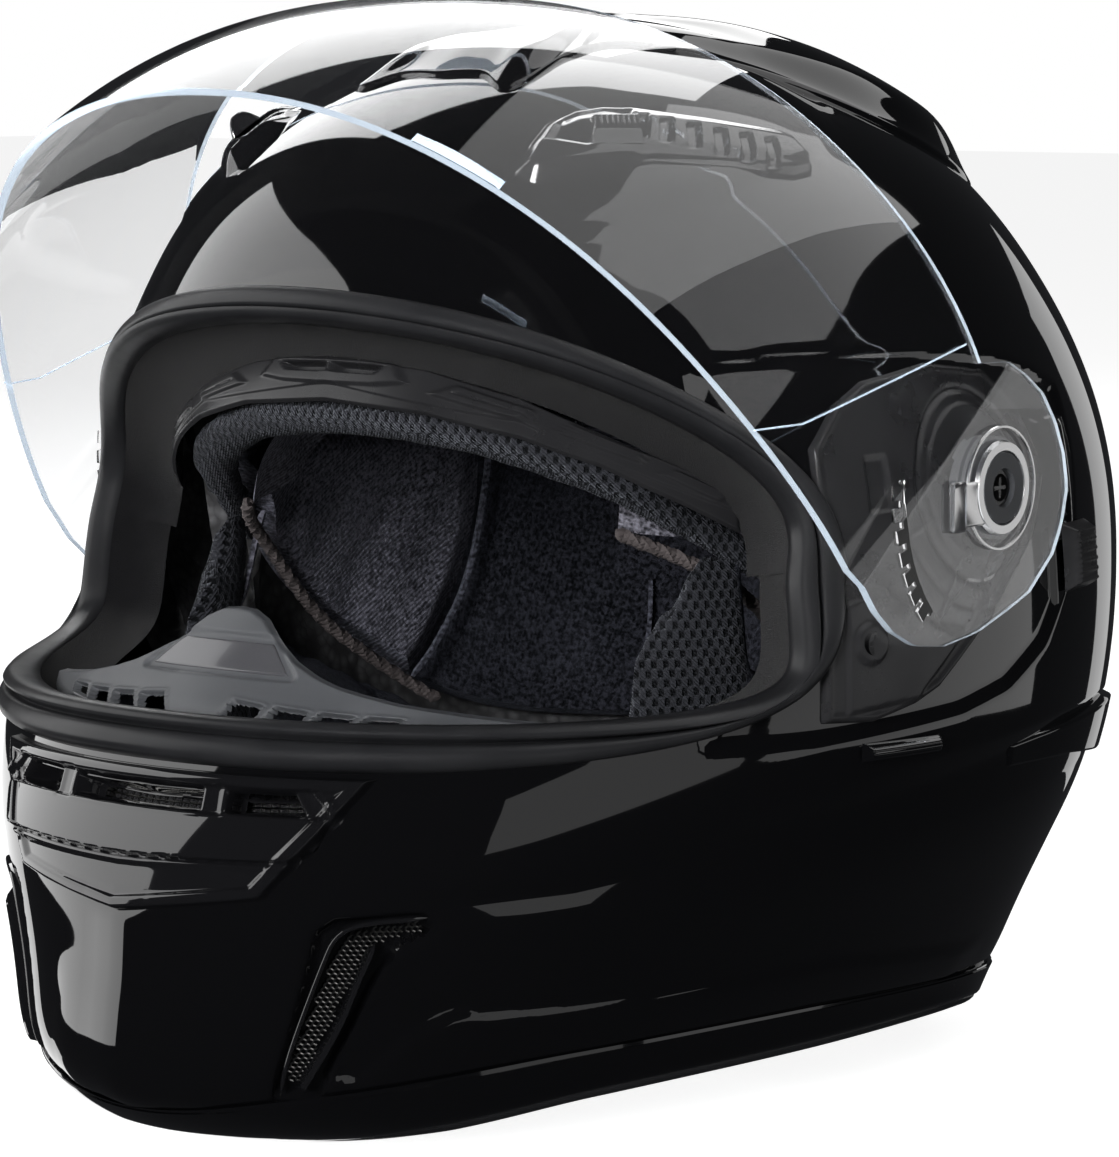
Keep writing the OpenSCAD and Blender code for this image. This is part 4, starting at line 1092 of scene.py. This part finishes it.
def sun_visor():
    """Smoked visor, drawn in its pocket under the brow."""
    n, m = 80, 30
    xs = np.linspace(-98, 98, n)
    f = np.abs(xs) / 98
    a0, a1 = 22 + 9 * f ** 4, 64 - 26 * f ** 4
    a = np.radians(a0[:, None] + (a1 - a0)[:, None] * np.linspace(0, 1, m))
    r = 112.5 * (1 - (np.abs(xs) / 118) ** 2.2) ** (1 / 2.2)
    x = np.repeat(xs[:, None], m, 1)

    def grid(t):
        q = r[:, None] - t
        return np.stack([x, PIVOT[1] - q * np.cos(a), PIVOT[2] - 4 + q * np.sin(a)], -1)
    slab("sun_visor_smoked", grid(0), grid(2), SMOKE, body="sun_visor", instead=["sun_visor"],
         slot="smoke_visor")


# ---- Soft goods ----

def read(items, name, width=1, kind=float):
    """One property of every item as an array."""
    out = np.empty(len(items) * width, kind)
    items.foreach_get(name, out)
    return out.reshape(-1, width) if width > 1 else out


def coords(mesh):
    return read(mesh.vertices, "co", 3)


def store_weave(mesh, xy):
    out = np.zeros((len(xy), 3), np.float32)
    out[:, :2] = xy
    mesh.attributes.new("weave", "FLOAT_VECTOR", "CORNER").data.foreach_set("vector", out.ravel())


def weave(obj):
    """Stores each corner's place along the cloth in mm, for the weaves."""
    mesh = obj.data
    faces = mesh.polygons
    c, nr = read(faces, "center", 3) / MM, read(faces, "normal", 3)
    total, starts = read(faces, "loop_total", 1, np.int32), read(faces, "loop_start", 1, np.int32)
    corner = read(mesh.loops, "vertex_index", 1, np.int32)
    face = np.empty(len(corner), np.int64)
    step = np.arange(total.sum()) - np.repeat(np.cumsum(total) - total, total)
    face[np.repeat(starts, total) + step] = np.repeat(np.arange(len(faces)), total)
    p = (coords(mesh) / MM)[corner]
    flat = np.abs(nr[face, 2]) > 0.72
    mid = np.degrees(np.arctan2(c[face, 0], -(c[face, 1] - 12)))
    ang = np.degrees(np.arctan2(p[:, 0], -(p[:, 1] - 12)))
    ang = mid + np.mod(ang - mid + 180, 360) - 180
    store_weave(mesh, np.where(flat[:, None], p[:, :2], np.stack([ang * 1.75, p[:, 2]], 1)))


def apply_all(obj):
    """Bakes the modifiers of a piece into its mesh."""
    dg = bpy.context.evaluated_depsgraph_get()
    mesh = bpy.data.meshes.new_from_object(obj.evaluated_get(dg), preserve_all_data_layers=True, depsgraph=dg)
    obj.modifiers.clear()
    obj.data = mesh


def inflate(obj, cap=4.0, voxel=5.0, pressure=4.0):
    """Turns a closed form into a stuffed one: remesh, swell as cloth, cap the move, subdivide."""
    scene = bpy.context.scene
    m = obj.modifiers.new("remesh", "REMESH")
    m.mode, m.voxel_size = "VOXEL", voxel * MM
    apply_all(obj)
    start = coords(obj.data)
    c = obj.modifiers.new("cloth", "CLOTH")
    s = c.settings
    s.use_pressure, s.uniform_pressure_force = True, pressure
    s.mass, s.quality = 0.3, 4
    s.effector_weights.gravity = 0
    s.tension_stiffness = s.compression_stiffness = 12
    s.bending_stiffness = 0.4
    c.point_cache.frame_start, c.point_cache.frame_end = 1, 20
    for f in range(1, 21):
        scene.frame_set(f)
    dg = bpy.context.evaluated_depsgraph_get()
    got = coords(obj.evaluated_get(dg).to_mesh())
    obj.modifiers.clear()
    scene.frame_set(1)
    move = got - start
    far = np.linalg.norm(move, axis=1, keepdims=True)
    move *= np.minimum(1, cap * MM / np.maximum(far, 1e-9))
    obj.data.vertices.foreach_set("co", (start + move).ravel())
    obj.data.update()
    m = obj.modifiers.new("round", "SUBSURF")
    m.levels = m.render_levels = 1
    apply_all(obj)
    obj.data.shade_smooth()


def press(obj, move):
    """Moves every point of a piece by move(points) in mm."""
    co = coords(obj.data) / MM
    obj.data.vertices.foreach_set("co", (move(co) * MM).ravel())
    obj.data.update()


def place(p):
    """(u, z, offset) of points inside the helmet, found by stepping towards the surface."""
    u = np.degrees(np.arctan2(p[:, 0], -(p[:, 1] - CENTRE_Y - Y_SHIFT)))
    z = p[:, 2] - RIM_H
    o = np.full(len(p), -35.0)

    def nearest(u, z, o):
        return skin(u, np.clip(z, 0, 260), o)

    for _ in range(12):
        q = nearest(u, z, o)
        o = o + ((p - q) * normal(u, np.clip(z, 0, 260))).sum(1)
        side = np.stack([np.cos(np.radians(u)), np.sin(np.radians(u)), 0 * u], 1)
        rad = np.maximum(np.hypot(q[:, 0], q[:, 1] - CENTRE_Y - Y_SHIFT), 20)
        u = u + np.degrees(((p - nearest(u, z, o)) * side).sum(1) / rad)
        z = z + 0.8 * (p - nearest(u, z, o))[:, 2]
    return u, z, o


LINER_EDGE = [(0, 187), (45, 179), (60, 162), (72, 134), (84, 111), (98, 90), (114, 66), (135, 54), (180, 52)]
PIPING = [(46, 156), (56, 147), (66, 135), (75, 120), (82, 106), (92, 89), (102, 72), (108, 62)]
TWILL_AREA = [(50, 157), (58, 147), (66, 135), (75, 120), (82, 106), (92, 89), (102, 73), (104, 73),
              (109, 85), (116, 110), (118, 126), (118.5, 145), (118, 165), (108, 170), (100, 171), (83, 174),
              (70, 168)]
FLEECE_AREA = [(104, 66), (109, 85), (116, 110), (118, 140), (119, 156), (130, 142), (140, 120), (148, 100),
               (152, 72), (151, 56), (136, 50), (110, 50)]


def crown_lining():
    """The comfort liner: sewn panels of twill, fleece, ribbed knit and spacer mesh."""
    us = np.linspace(-180, 180, 361)[:-1]
    a = np.abs(us)
    start = np.arcsin((curve(LINER_EDGE, a) - WAIST) / HALF_H)
    t = np.concatenate([[0, 0, 0], np.linspace(0, 1, 150)])
    w = start[:, None] + (math.radians(88.5) - start)[:, None] * t
    z = WAIST + HALF_H * np.sin(w)
    u = np.repeat(us[:, None], len(t), 1)
    A = np.abs(u)
    twill = inside(TWILL_AREA, A, z, 1.6)
    fleece = inside(FLEECE_AREA, A, z, 3.0)
    dt, df = distance(A, z, TWILL_AREA, 1.8), distance(A, z, FLEECE_AREA, 1.8)
    o = -40.0 - 4.2 * smooth(-dt / 9) * twill - 1.8 * twill
    o = o - 1.2 * fleece * smooth(-df / 16)
    rib = smooth((z - 176) / 6)
    o = o - rib * 2.2 * (0.5 + 0.5 * np.cos(A * math.pi / 20)) ** 0.5
    seam = np.minimum(np.abs(z - 176), np.abs(np.mod(A, 40) - 20) * 1.6 + 9 * (1 - rib))
    o = o + 1.7 * ridge(seam, 1.6) * (1 - twill)
    ripple = (np.sin(A * 0.21 + z * 0.05) * np.sin(z * 0.083 - A * 0.07) + 0.5 * np.sin(A * 0.47 - z * 0.12))
    o = o - 0.8 * ripple * (0.4 + 0.6 * twill)
    o[:, 0], o[:, 1], o[:, 2] = -35.8, -37.2, -39.2
    p = skin(u, z, o)
    cu = (A + np.roll(A, -1, 0))[:, :-1] / 2
    cz = (z[:, 1:] + z[:, :-1]) / 2
    slot = np.where(distance(cu, cz, TWILL_AREA) < 0.4, 0, np.where(distance(cu, cz, FLEECE_AREA) < 0.4, 1,
                    np.where(cz > 176, np.where(np.mod(cu, 80) < 40, 3, 2), np.where(cu > 118, 1, 2))))
    sheet("comfort_liner", p, [TWILL, FLEECE, RIBBED, MESH], loop=True, flip=True, cap=True, angle=60,
          slots=slot.ravel().tolist() + [3], instead=["crown_liner", "crown_pad"], fill=0.5,
          slot="liner_knit")
    for tag, side in SIDES:
        u2, z2 = way(PIPING, 0.35)
        base = skin(u2 * side, z2, -46.6)
        nrm = normal(u2 * side, z2)
        tan = unit(np.gradient(base, axis=0))
        g = np.cross(tan, nrm)
        k = np.arange(len(u2)) * 2 * math.pi / 6.5
        rope = base + 0.35 * (np.cos(k)[:, None] * g + np.sin(k)[:, None] * nrm)
        r = 1.5 + 0.28 * np.sin(k) + 0.18 * np.sin(k * 2.3)
        q = tube(f"piping_{tag}", rope, r, CORD, sides=9)
        low = [(46, 157), (56, 152.5), (64, 153), (72, 159), (78, 168), (80.5, 175.5)]
        high = [(46, 178), (60, 179), (72, 178.5), (80.5, 176.5)]
        # The flap takes the lighter twill: painted light on the flap.
        field(f"liner_flap_{tag}", low, high, 50, 30, lambda u, z: -47.4 - 1.2 * np.sin(u * 0.2 + z * 0.16),
              LIT_FLAP_TWILL, side, fill=0.3, slot="liner_knit")
        for name, path, depth in (
                ("panel_seam", [(118.5, 165), (118.3, 140), (116, 110), (109, 85), (103, 73)], -46.0),
                ("rear_seam", [(150, 98), (152, 72), (151, 56)], -42.2)):
            ribbon(f"{name}_{tag}", path, bead(1.3, 0.9, -1.0), RIBBED, side, depth=depth, step=1.0, fill=0.9,
                   slot="liner_knit")


CHEEK_LOW = [(47, 74), (58, 44), (75, 30), (100, 26), (112, 30)]
CHEEK_HIGH = [(47, 118), (51, 134), (56, 147), (62, 150), (64.6, 145), (65.8, 119), (67.4, 111), (80, 100),
              (94, 82), (112, 58)]


CHEEK_SEAM = 64      # angle where the mesh ends and the fleece begins


def cheek_pad(side):
    """Thick pad of foam, with mesh at the front and fleece behind a sewn bead."""
    tag = "LR"[side < 0]
    n, m = 40, 34
    us = np.linspace(47.6, 111.4, n)
    lo, hi = line(CHEEK_LOW, us) + 0.8, line(CHEEK_HIGH, us) - 0.8
    t = np.linspace(0, 1, m)
    z = lo[:, None] + (hi - lo)[:, None] * t
    u = np.repeat(us[:, None], m, 1)
    fu, ft = np.linspace(0, 1, n)[:, None], t[None, :]
    crown = (np.sin(np.pi * fu) ** 0.3) * (np.sin(np.pi * ft) ** 0.3)
    inner = skin(u * side, z, -38.0 - 8.4 * crown)
    outer = skin(u * side, z, -35.9 + 0 * crown)
    if side < 0:
        inner, outer = inner[::-1], outer[::-1]
    o = slab(f"cheek_pad_cushion_{tag}", outer, inner, [MESH, FLEECE], instead=[f"cheek_pad_{tag}"])
    inflate(o, 3.0)
    u2, z2, o2 = place(coords(o.data) / MM)

    def sew(p):
        s = np.abs(np.abs(u2) - CHEEK_SEAM)
        k = ridge(s, 1.4) + 0.8 * ridge(s - 3.6, 0.6) * 0.4
        return p + normal(u2, z2) * (2.4 * k * smooth((-38 - o2) / 4))[:, None]
    press(o, sew)
    u3 = place(read(o.data.polygons, "center", 3) / MM)[0]
    slots = np.where(np.abs(u3) < CHEEK_SEAM, 0, 1).astype(np.int32)
    o.data.materials.clear()
    o.data.materials.append(MESH)
    o.data.materials.append(FLEECE)
    o.data.polygons.foreach_set("material_index", slots)
    weave(o)
    ribbon(f"cheek_edge_binding_{tag}", [(52, 111), (58, 113.5), (62, 118), (63.6, 130), (64.8, 146)],
           bead(1.2, 0.8, -1.0), TWILL, side, depth=-44.6, step=1.0, fill=0.9, slot="liner_knit")


def brow_pad():
    """Rolled pad of spacer mesh across the brow."""
    us = np.linspace(-72, 72, 120)
    a = np.abs(us)
    mid = line([(0, 183), (14, 182), (23, 179.6), (30, 176.6), (41, 170), (48, 163.6), (57, 154), (64, 145.6),
                (72, 132)], a)
    k = np.clip((1 - (a / 72.6) ** 18), 0.02, 1) ** 0.5
    deep = smooth((a - 44) / 14)
    tall, thick = 4.4 + 1.0 * (a / 46) ** 2, 7.2 - 2.6 * deep
    rings = [skin(us, mid + y * tall * k, -33.6 - 4.0 * deep + x * thick * k) for x, y in oval(15, 0.7, 0.75)]
    o = sweep("brow_pad_mesh", np.stack(rings, 1), MESH, instead=["brow_pad"])
    inflate(o, 2.0, 4.0)
    weave(o)
    return o


def felt_strip():
    """Felt behind the gasket: at the brow, over the slot of the sun visor, and along the chin."""
    for name, w, lean, bow, depth in (
            ("brow_felt", np.linspace(8, 172, 150),
             lambda inset: np.where(inset > -1.6, 0.25 * (inset + 1.6), 0) - 1.4 - inset, 1.6, 18.3),
            ("chin_edge_lining", np.linspace(172, 368, 170), lambda inset: 2.4, 1.2, 15.8)):
        W, S = np.meshgrid(w, np.linspace(0, 1, 26), indexing="ij")
        inset = lip_inset(W)
        a = inset + 0.5 + lean(inset) * S + bow * np.sin(np.pi * S)
        p = port_frame(W.ravel(), a.ravel(), (-5.2 - depth * S).ravel()).reshape(*W.shape, 3)
        sheet(name, p, FELT, angle=60, slot="mesh_cloth")


def brow_trim():
    """Moulded strip that holds the comfort liner at the brow, with a stepped face and two slots."""
    low = mirrored([(0, 184), (16, 181.8), (30, 176.4), (41, 169), (52, 158), (60, 149)])
    high = mirrored([(0, 195.8), (16, 193), (30, 186.4), (41, 177.6), (52, 168), (60, 160.5)])
    slots = [[(-7.5, 191), (-0.8, 191.2), (-0.8, 193.4), (-9, 193)],
             [(0.8, 191.2), (7.5, 191), (9, 193), (0.8, 193.4)]]
    panel = [(-13, 189), (-11, 194.5), (11, 194.5), (13, 189), (8, 188.2), (-8, 188.2)]
    wings = [[(s * u, z) for u, z in path] for s in (1, -1) for path in (
        [(17, 186.5), (30, 180.6), (32, 183), (21, 188.8)],
        [(35, 177.5), (46, 169.5), (47, 171.5), (37, 179.6)],
        [(49, 166), (57, 157.6), (58, 160), (51, 167)])]

    def offset(u, z):
        d = -distance(u, z, low + high[::-1])
        h = -24.0 + 1.4 * smooth((d + 0.2) / 0.9)
        h = h + 0.9 * inside(panel, u, z, 1.2)
        for s in wings:
            h = h + 0.8 * inside(s, u, z, 0.8) - 0.5 * inside(s, u, z, 0.6, grow=-1.8)
        for s in slots:
            h = h - 4.0 * inside(s, u, z, 0.5)
        return h + 0.5 * smooth((z - line([(-60, 154), (-30, 180), (0, 188), (30, 180), (60, 154)], u)) / 0.7)
    field("brow_trim_strip", low, high, 220, 56, offset, SATIN, instead=["brow_trim"], slot="matte_black")


def chin_lining():
    """Fleece over the foam of the chin bar."""
    us = np.linspace(-54, 54, 90)
    rings = [skin(us, 58 + y * 33, -17 + x * 6.6) for x, y in oval(12, 0.45, 0.35)]
    sweep("chin_bar_lining", np.stack(rings, 1), FLEECE, instead=["chin_eps"], angle=50, fill=0.7,
          slot="eps_foam")


def neck_roll():
    """Roll of ribbed knit round the back of the neck opening."""
    us = np.linspace(104, 256, 120)
    k = np.clip(1 - np.abs((us - 180) / 77.5) ** 12, 0.03, 1) ** 0.5
    lo = line([(104, 18.6), (180, 12.6), (256, 18.6)], us)
    mid, half = (lo + 36.6) / 2, (36.6 - lo) / 2
    rings = [skin(us, mid + y * half * k, -19.6 + x * 8.6 * k) for x, y in oval(15, 0.7, 0.7)]
    o = sweep("neck_roll_pad", np.stack(rings, 1), RIBBED, instead=["neck_roll"])
    inflate(o, 1.6)

    def sew(p):
        u = place(p)[0]
        f = ridge(np.abs(np.mod(u, 25.4) - 12.7), 0.9)
        return p + np.array([0, 0, 1.0]) * (1.6 * f * (p[:, 2:3].ravel() < 27))[:, None]
    press(o, sew)
    weave(o)
    return o


STRAPS = {"L": [(88, 31), (84, 24), (74, 18), (58, 14), (40, 12), (24, 11)],
          "R": [(-88, 31), (-84, 24), (-74, 18), (-58, 14), (-40, 12), (-20, 11), (0, 11), (8, 11)]}


def strap(tag):
    """Woven band with thicker selvedges."""
    p = rounded(STRAPS[tag], 3)
    d = unit(np.gradient(p, axis=0))
    nrm = np.stack([-d[:, 1], d[:, 0]], 1)
    prof = [(-12.5, 0), (-12.2, 1.0), (-11.4, 1.2), (-10.6, 0.9), (-3.6, 1.0), (-3.2, 0.8), (3.2, 0.8),
            (3.6, 1.0), (10.6, 0.9), (11.4, 1.2), (12.2, 1.0), (12.5, 0)]
    prof = prof + [(x, -y) for x, y in prof[-2:0:-1]]
    rings = np.stack([np.stack([p[:, 0] + nrm[:, 0] * y, np.full(len(p), 4 + Y_SHIFT + x),
                                p[:, 1] + nrm[:, 1] * y], 1) for x, y in prof], 1)
    o = sweep(f"chin_strap_webbing_{tag}", rings, WEB, instead=[f"chin_strap_{tag}"], angle=40,
              slot="webbing")
    corner = read(o.data.loops, "vertex_index", 1, np.int32)
    store_weave(o.data, (coords(o.data) / MM)[corner][:, :2])


# ---- Breath deflector ----

def deflector():
    """Nose guard behind the gasket, with cut slots and a blank badge."""
    low = [(-46, 96.5), (46, 96.5)]
    high = mirrored([(0, 133.4), (2, 133), (4, 131), (6.5, 126), (9, 122), (12, 118.4), (15, 115.6),
                     (21, 111.6), (29, 107.6), (35, 104.6), (46, 98.5)])
    badge = [(-9.2, 117.4), (9.2, 117.4), (6, 125.4), (-6, 125.4)]
    grilles = []
    for s in (-1, 1):
        for k in range(4):
            a = 3.0 + 4.7 * k
            h = 110.6 - 0.95 * k
            grilles.append([(s * a, 104.8), (s * (a + 3.7), 104.8), (s * (a + 4.7), h - 0.8),
                            (s * (a + 1.4), h)])

    def stand(u, z):
        """How far it leans in and how far its keel stands out."""
        return smooth((z - 100) / 34) * 4.0, 1.6 * ridge(np.abs(u), 9) * smooth((z - 100) / 10)

    def offset(u, z):
        d = -distance(u, z, low + high[::-1])
        h = -12.4 + 1.9 * smooth((d + 0.1) / 1.4)
        lean, keel = stand(u, z)
        h = (h - lean + keel
             + 0.6 * smooth((np.abs(u) - 12.5 + (z - 104) * 0.45) / 0.9) * smooth((108 - z) / 4))
        h = h - 0.9 * inside(badge, u, z, 0.9, grow=1.2)
        k = 0
        for g in grilles:
            k = np.maximum(k, inside(g, u, z, 0.5))
            h = h + 0.35 * ridge(distance(u, z, g) - 0.5, 0.4)
        return h - 1.5 * k
    field("breath_deflector_grille", low, high, 300, 90, offset, GREY,
          keep=lambda u, z: np.minimum.reduce([distance(u, z, g) for g in grilles]) > -0.45,
          instead=["breath_deflector"], slot="grey_plastic")

    def flat(u, z):
        d = -distance(u, z, badge)
        lean, keel = stand(u, z)
        return -11.9 - lean + keel + 0.9 * smooth((d + 0.1) / 0.8)
    field("deflector_badge_blank", [(-9.2, 117.4), (9.2, 117.4)],
          [(-9.2, 117.6), (-6, 125.4), (6, 125.4), (9.2, 117.6)],
          50, 40, flat, BADGE, instead=["deflector_badge"], slot="silver_badge")


# ---- Build ----

shell()
lip()
gasket()
shield()
thumb_tab()
chin_vent()
fairing()
rear_grille()
visor_track()
sun_visor()
for tag, side in SIDES:
    side_vent(side)
    forehead_pod(side)
    wing(side)
    base_plate(side)
    latch(side)
    button(f"forehead_slider_grip_{tag}", [(38.4, 237), (46.6, 237)], [(38.4, 242.4), (46.6, 242.4)],
           4.2, 4.3, 1.9, False, TRIM, f"forehead_slider_{tag}", f"forehead_vent_slider_{tag}", side)
    button(f"release_lever_grip_{tag}", [(68, 88), (80, 88)], [(68, 93.6), (80, 93.6)], 0.5, 3.9, 2.2, True,
           GLOSS,
           f"release_lever_{tag}", f"release_lever_{tag}", side)
button("visor_slider_knob", [(105.8, 123), (112.8, 123)], [(105.8, 140.6), (112.8, 140.6)], 2.5, 4.0, 2.6,
       True, SATIN, "visor_slider", "visor_slider", 1, edge=3.0)
crown_lining()
for tag, side in SIDES:
    cheek_pad(side)
    strap(tag)
brow_pad()
felt_strip()
brow_trim()
chin_lining()
neck_roll()
deflector()

FINISH = {"eps_liner": FOAM, "d_ring": STEEL, "strap_snap": STEEL, "shield_rack": CLEAR, "shield_pivot": GREY,
          "pivot_screw": DARK_STEEL, "plate_screw": DARK_STEEL, "visor_arm": MATTE, "visor_pivot": STEEL}
for name, node in nodes.items():
    if node.hide_render:
        continue
    node.data.materials.clear()
    node.data.materials.append(FINISH.get(name, FINISH.get(name[:-2], MATTE)))
    if name.startswith("shield_rack"):
        node.visible_shadow = False


# ---- Camera, light and floor ----

AZIMUTH, ELEVATION, DISTANCE = 38.2, 6.6, 1253
TARGET, LENS = (-0.5, 2.54, 128.5), 143.9


def studio():
    """Camera, plain floor, and softboxes round the helmet."""
    scene = bpy.context.scene
    az, el, far = math.radians(AZIMUTH), math.radians(ELEVATION), DISTANCE * MM
    target = Vector(TARGET) * MM
    back = Vector((math.sin(az) * math.cos(el), -math.cos(az) * math.cos(el), math.sin(el)))
    cam = bpy.data.objects.new("camera", bpy.data.cameras.new("camera"))
    scene.collection.objects.link(cam)
    cam.location = target + back * far
    cam.rotation_euler = (-back).to_track_quat("-Z", "Y").to_euler()
    cam.data.lens, cam.data.sensor_width = LENS, 36
    cam.data.clip_start = 0.05
    scene.camera = cam

    mesh = bpy.data.meshes.new("floor")
    mesh.from_pydata([(-9, -9, 0), (9, -9, 0), (9, 9, 0), (-9, 9, 0)], [], [(0, 1, 2, 3)])
    floor = bpy.data.objects.new("floor", mesh)
    scene.collection.objects.link(floor)
    t = Nodes("pale_floor")
    t.set(base=t.mix(t.noise(6, 3), (0.34, 0.34, 0.34), (0.38, 0.38, 0.38)), rough=0.9, specular=0.0,
          glow=0.9, glow_color=(1, 1, 1, 1))
    mesh.materials.append(t.mat)
    floor.location.z = -0.0006
    floor.visible_glossy = False

    world = bpy.data.worlds.new("studio")
    scene.world = world
    world.use_nodes = True
    tree = world.node_tree
    bg = tree.nodes["Background"]
    path = tree.nodes.new("ShaderNodeLightPath")
    mix = tree.nodes.new("ShaderNodeMix")
    mix.data_type = "RGBA"
    mix.inputs[6].default_value = (0.016, 0.0165, 0.018, 1)
    mix.inputs[7].default_value = (1, 1, 1, 1)
    tree.links.new(path.outputs["Is Camera Ray"], mix.inputs["Factor"])
    tree.links.new(mix.outputs[2], bg.inputs["Color"])

    def softbox(name, place, aim, size, power, spread=180, color=(1, 1, 1), glossy=True):
        data = bpy.data.lights.new(name, "AREA")
        data.shape, data.size, data.size_y = "RECTANGLE", size[0], size[1]
        data.energy, data.color, data.spread = power, color, math.radians(spread)
        o = bpy.data.objects.new(name, data)
        scene.collection.objects.link(o)
        o.location = place
        o.rotation_euler = (Vector(aim) - Vector(place)).to_track_quat("-Z", "Y").to_euler()
        o.visible_camera = False
        o.visible_glossy = glossy
        return o

    def around(az, el, far):
        a, e = math.radians(az), math.radians(el)
        return (far * math.sin(a) * math.cos(e), -far * math.cos(a) * math.cos(e), 0.14 + far * math.sin(e))

    centre = (0, 0, 0.14)
    # name, direction round the helmet, height, distance, size, radiance
    for name, az, el, far, size, radiance in (
            ("front_left", -60, 16, 1.9, (2.5, 1.9), 1.7), ("rear_left", -134, 38, 2.1, (1.4, 1.2), 2.6),
            ("overhead", 128, 56, 2.2, (3.2, 1.7), 1.0), ("right", 128, -6, 2.3, (2.3, 0.62), 0.5),
            ("right_front", 74, -6, 2.3, (2.0, 0.62), 0.4), ("low_left", -122, -17, 2.2, (1.7, 0.7), 1.0),
            ("behind", 186, -2, 2.5, (0.55, 1.3), 0.6)):
        softbox(name, around(az, el, far), centre, size, radiance * math.pi * size[0] * size[1])
    softbox("inside_fill", around(14, 14, 1.5), (0, 0.05, 0.16), (0.6, 0.6), 6, spread=40, glossy=False)
    scene.view_settings.view_transform = "Standard"


studio()
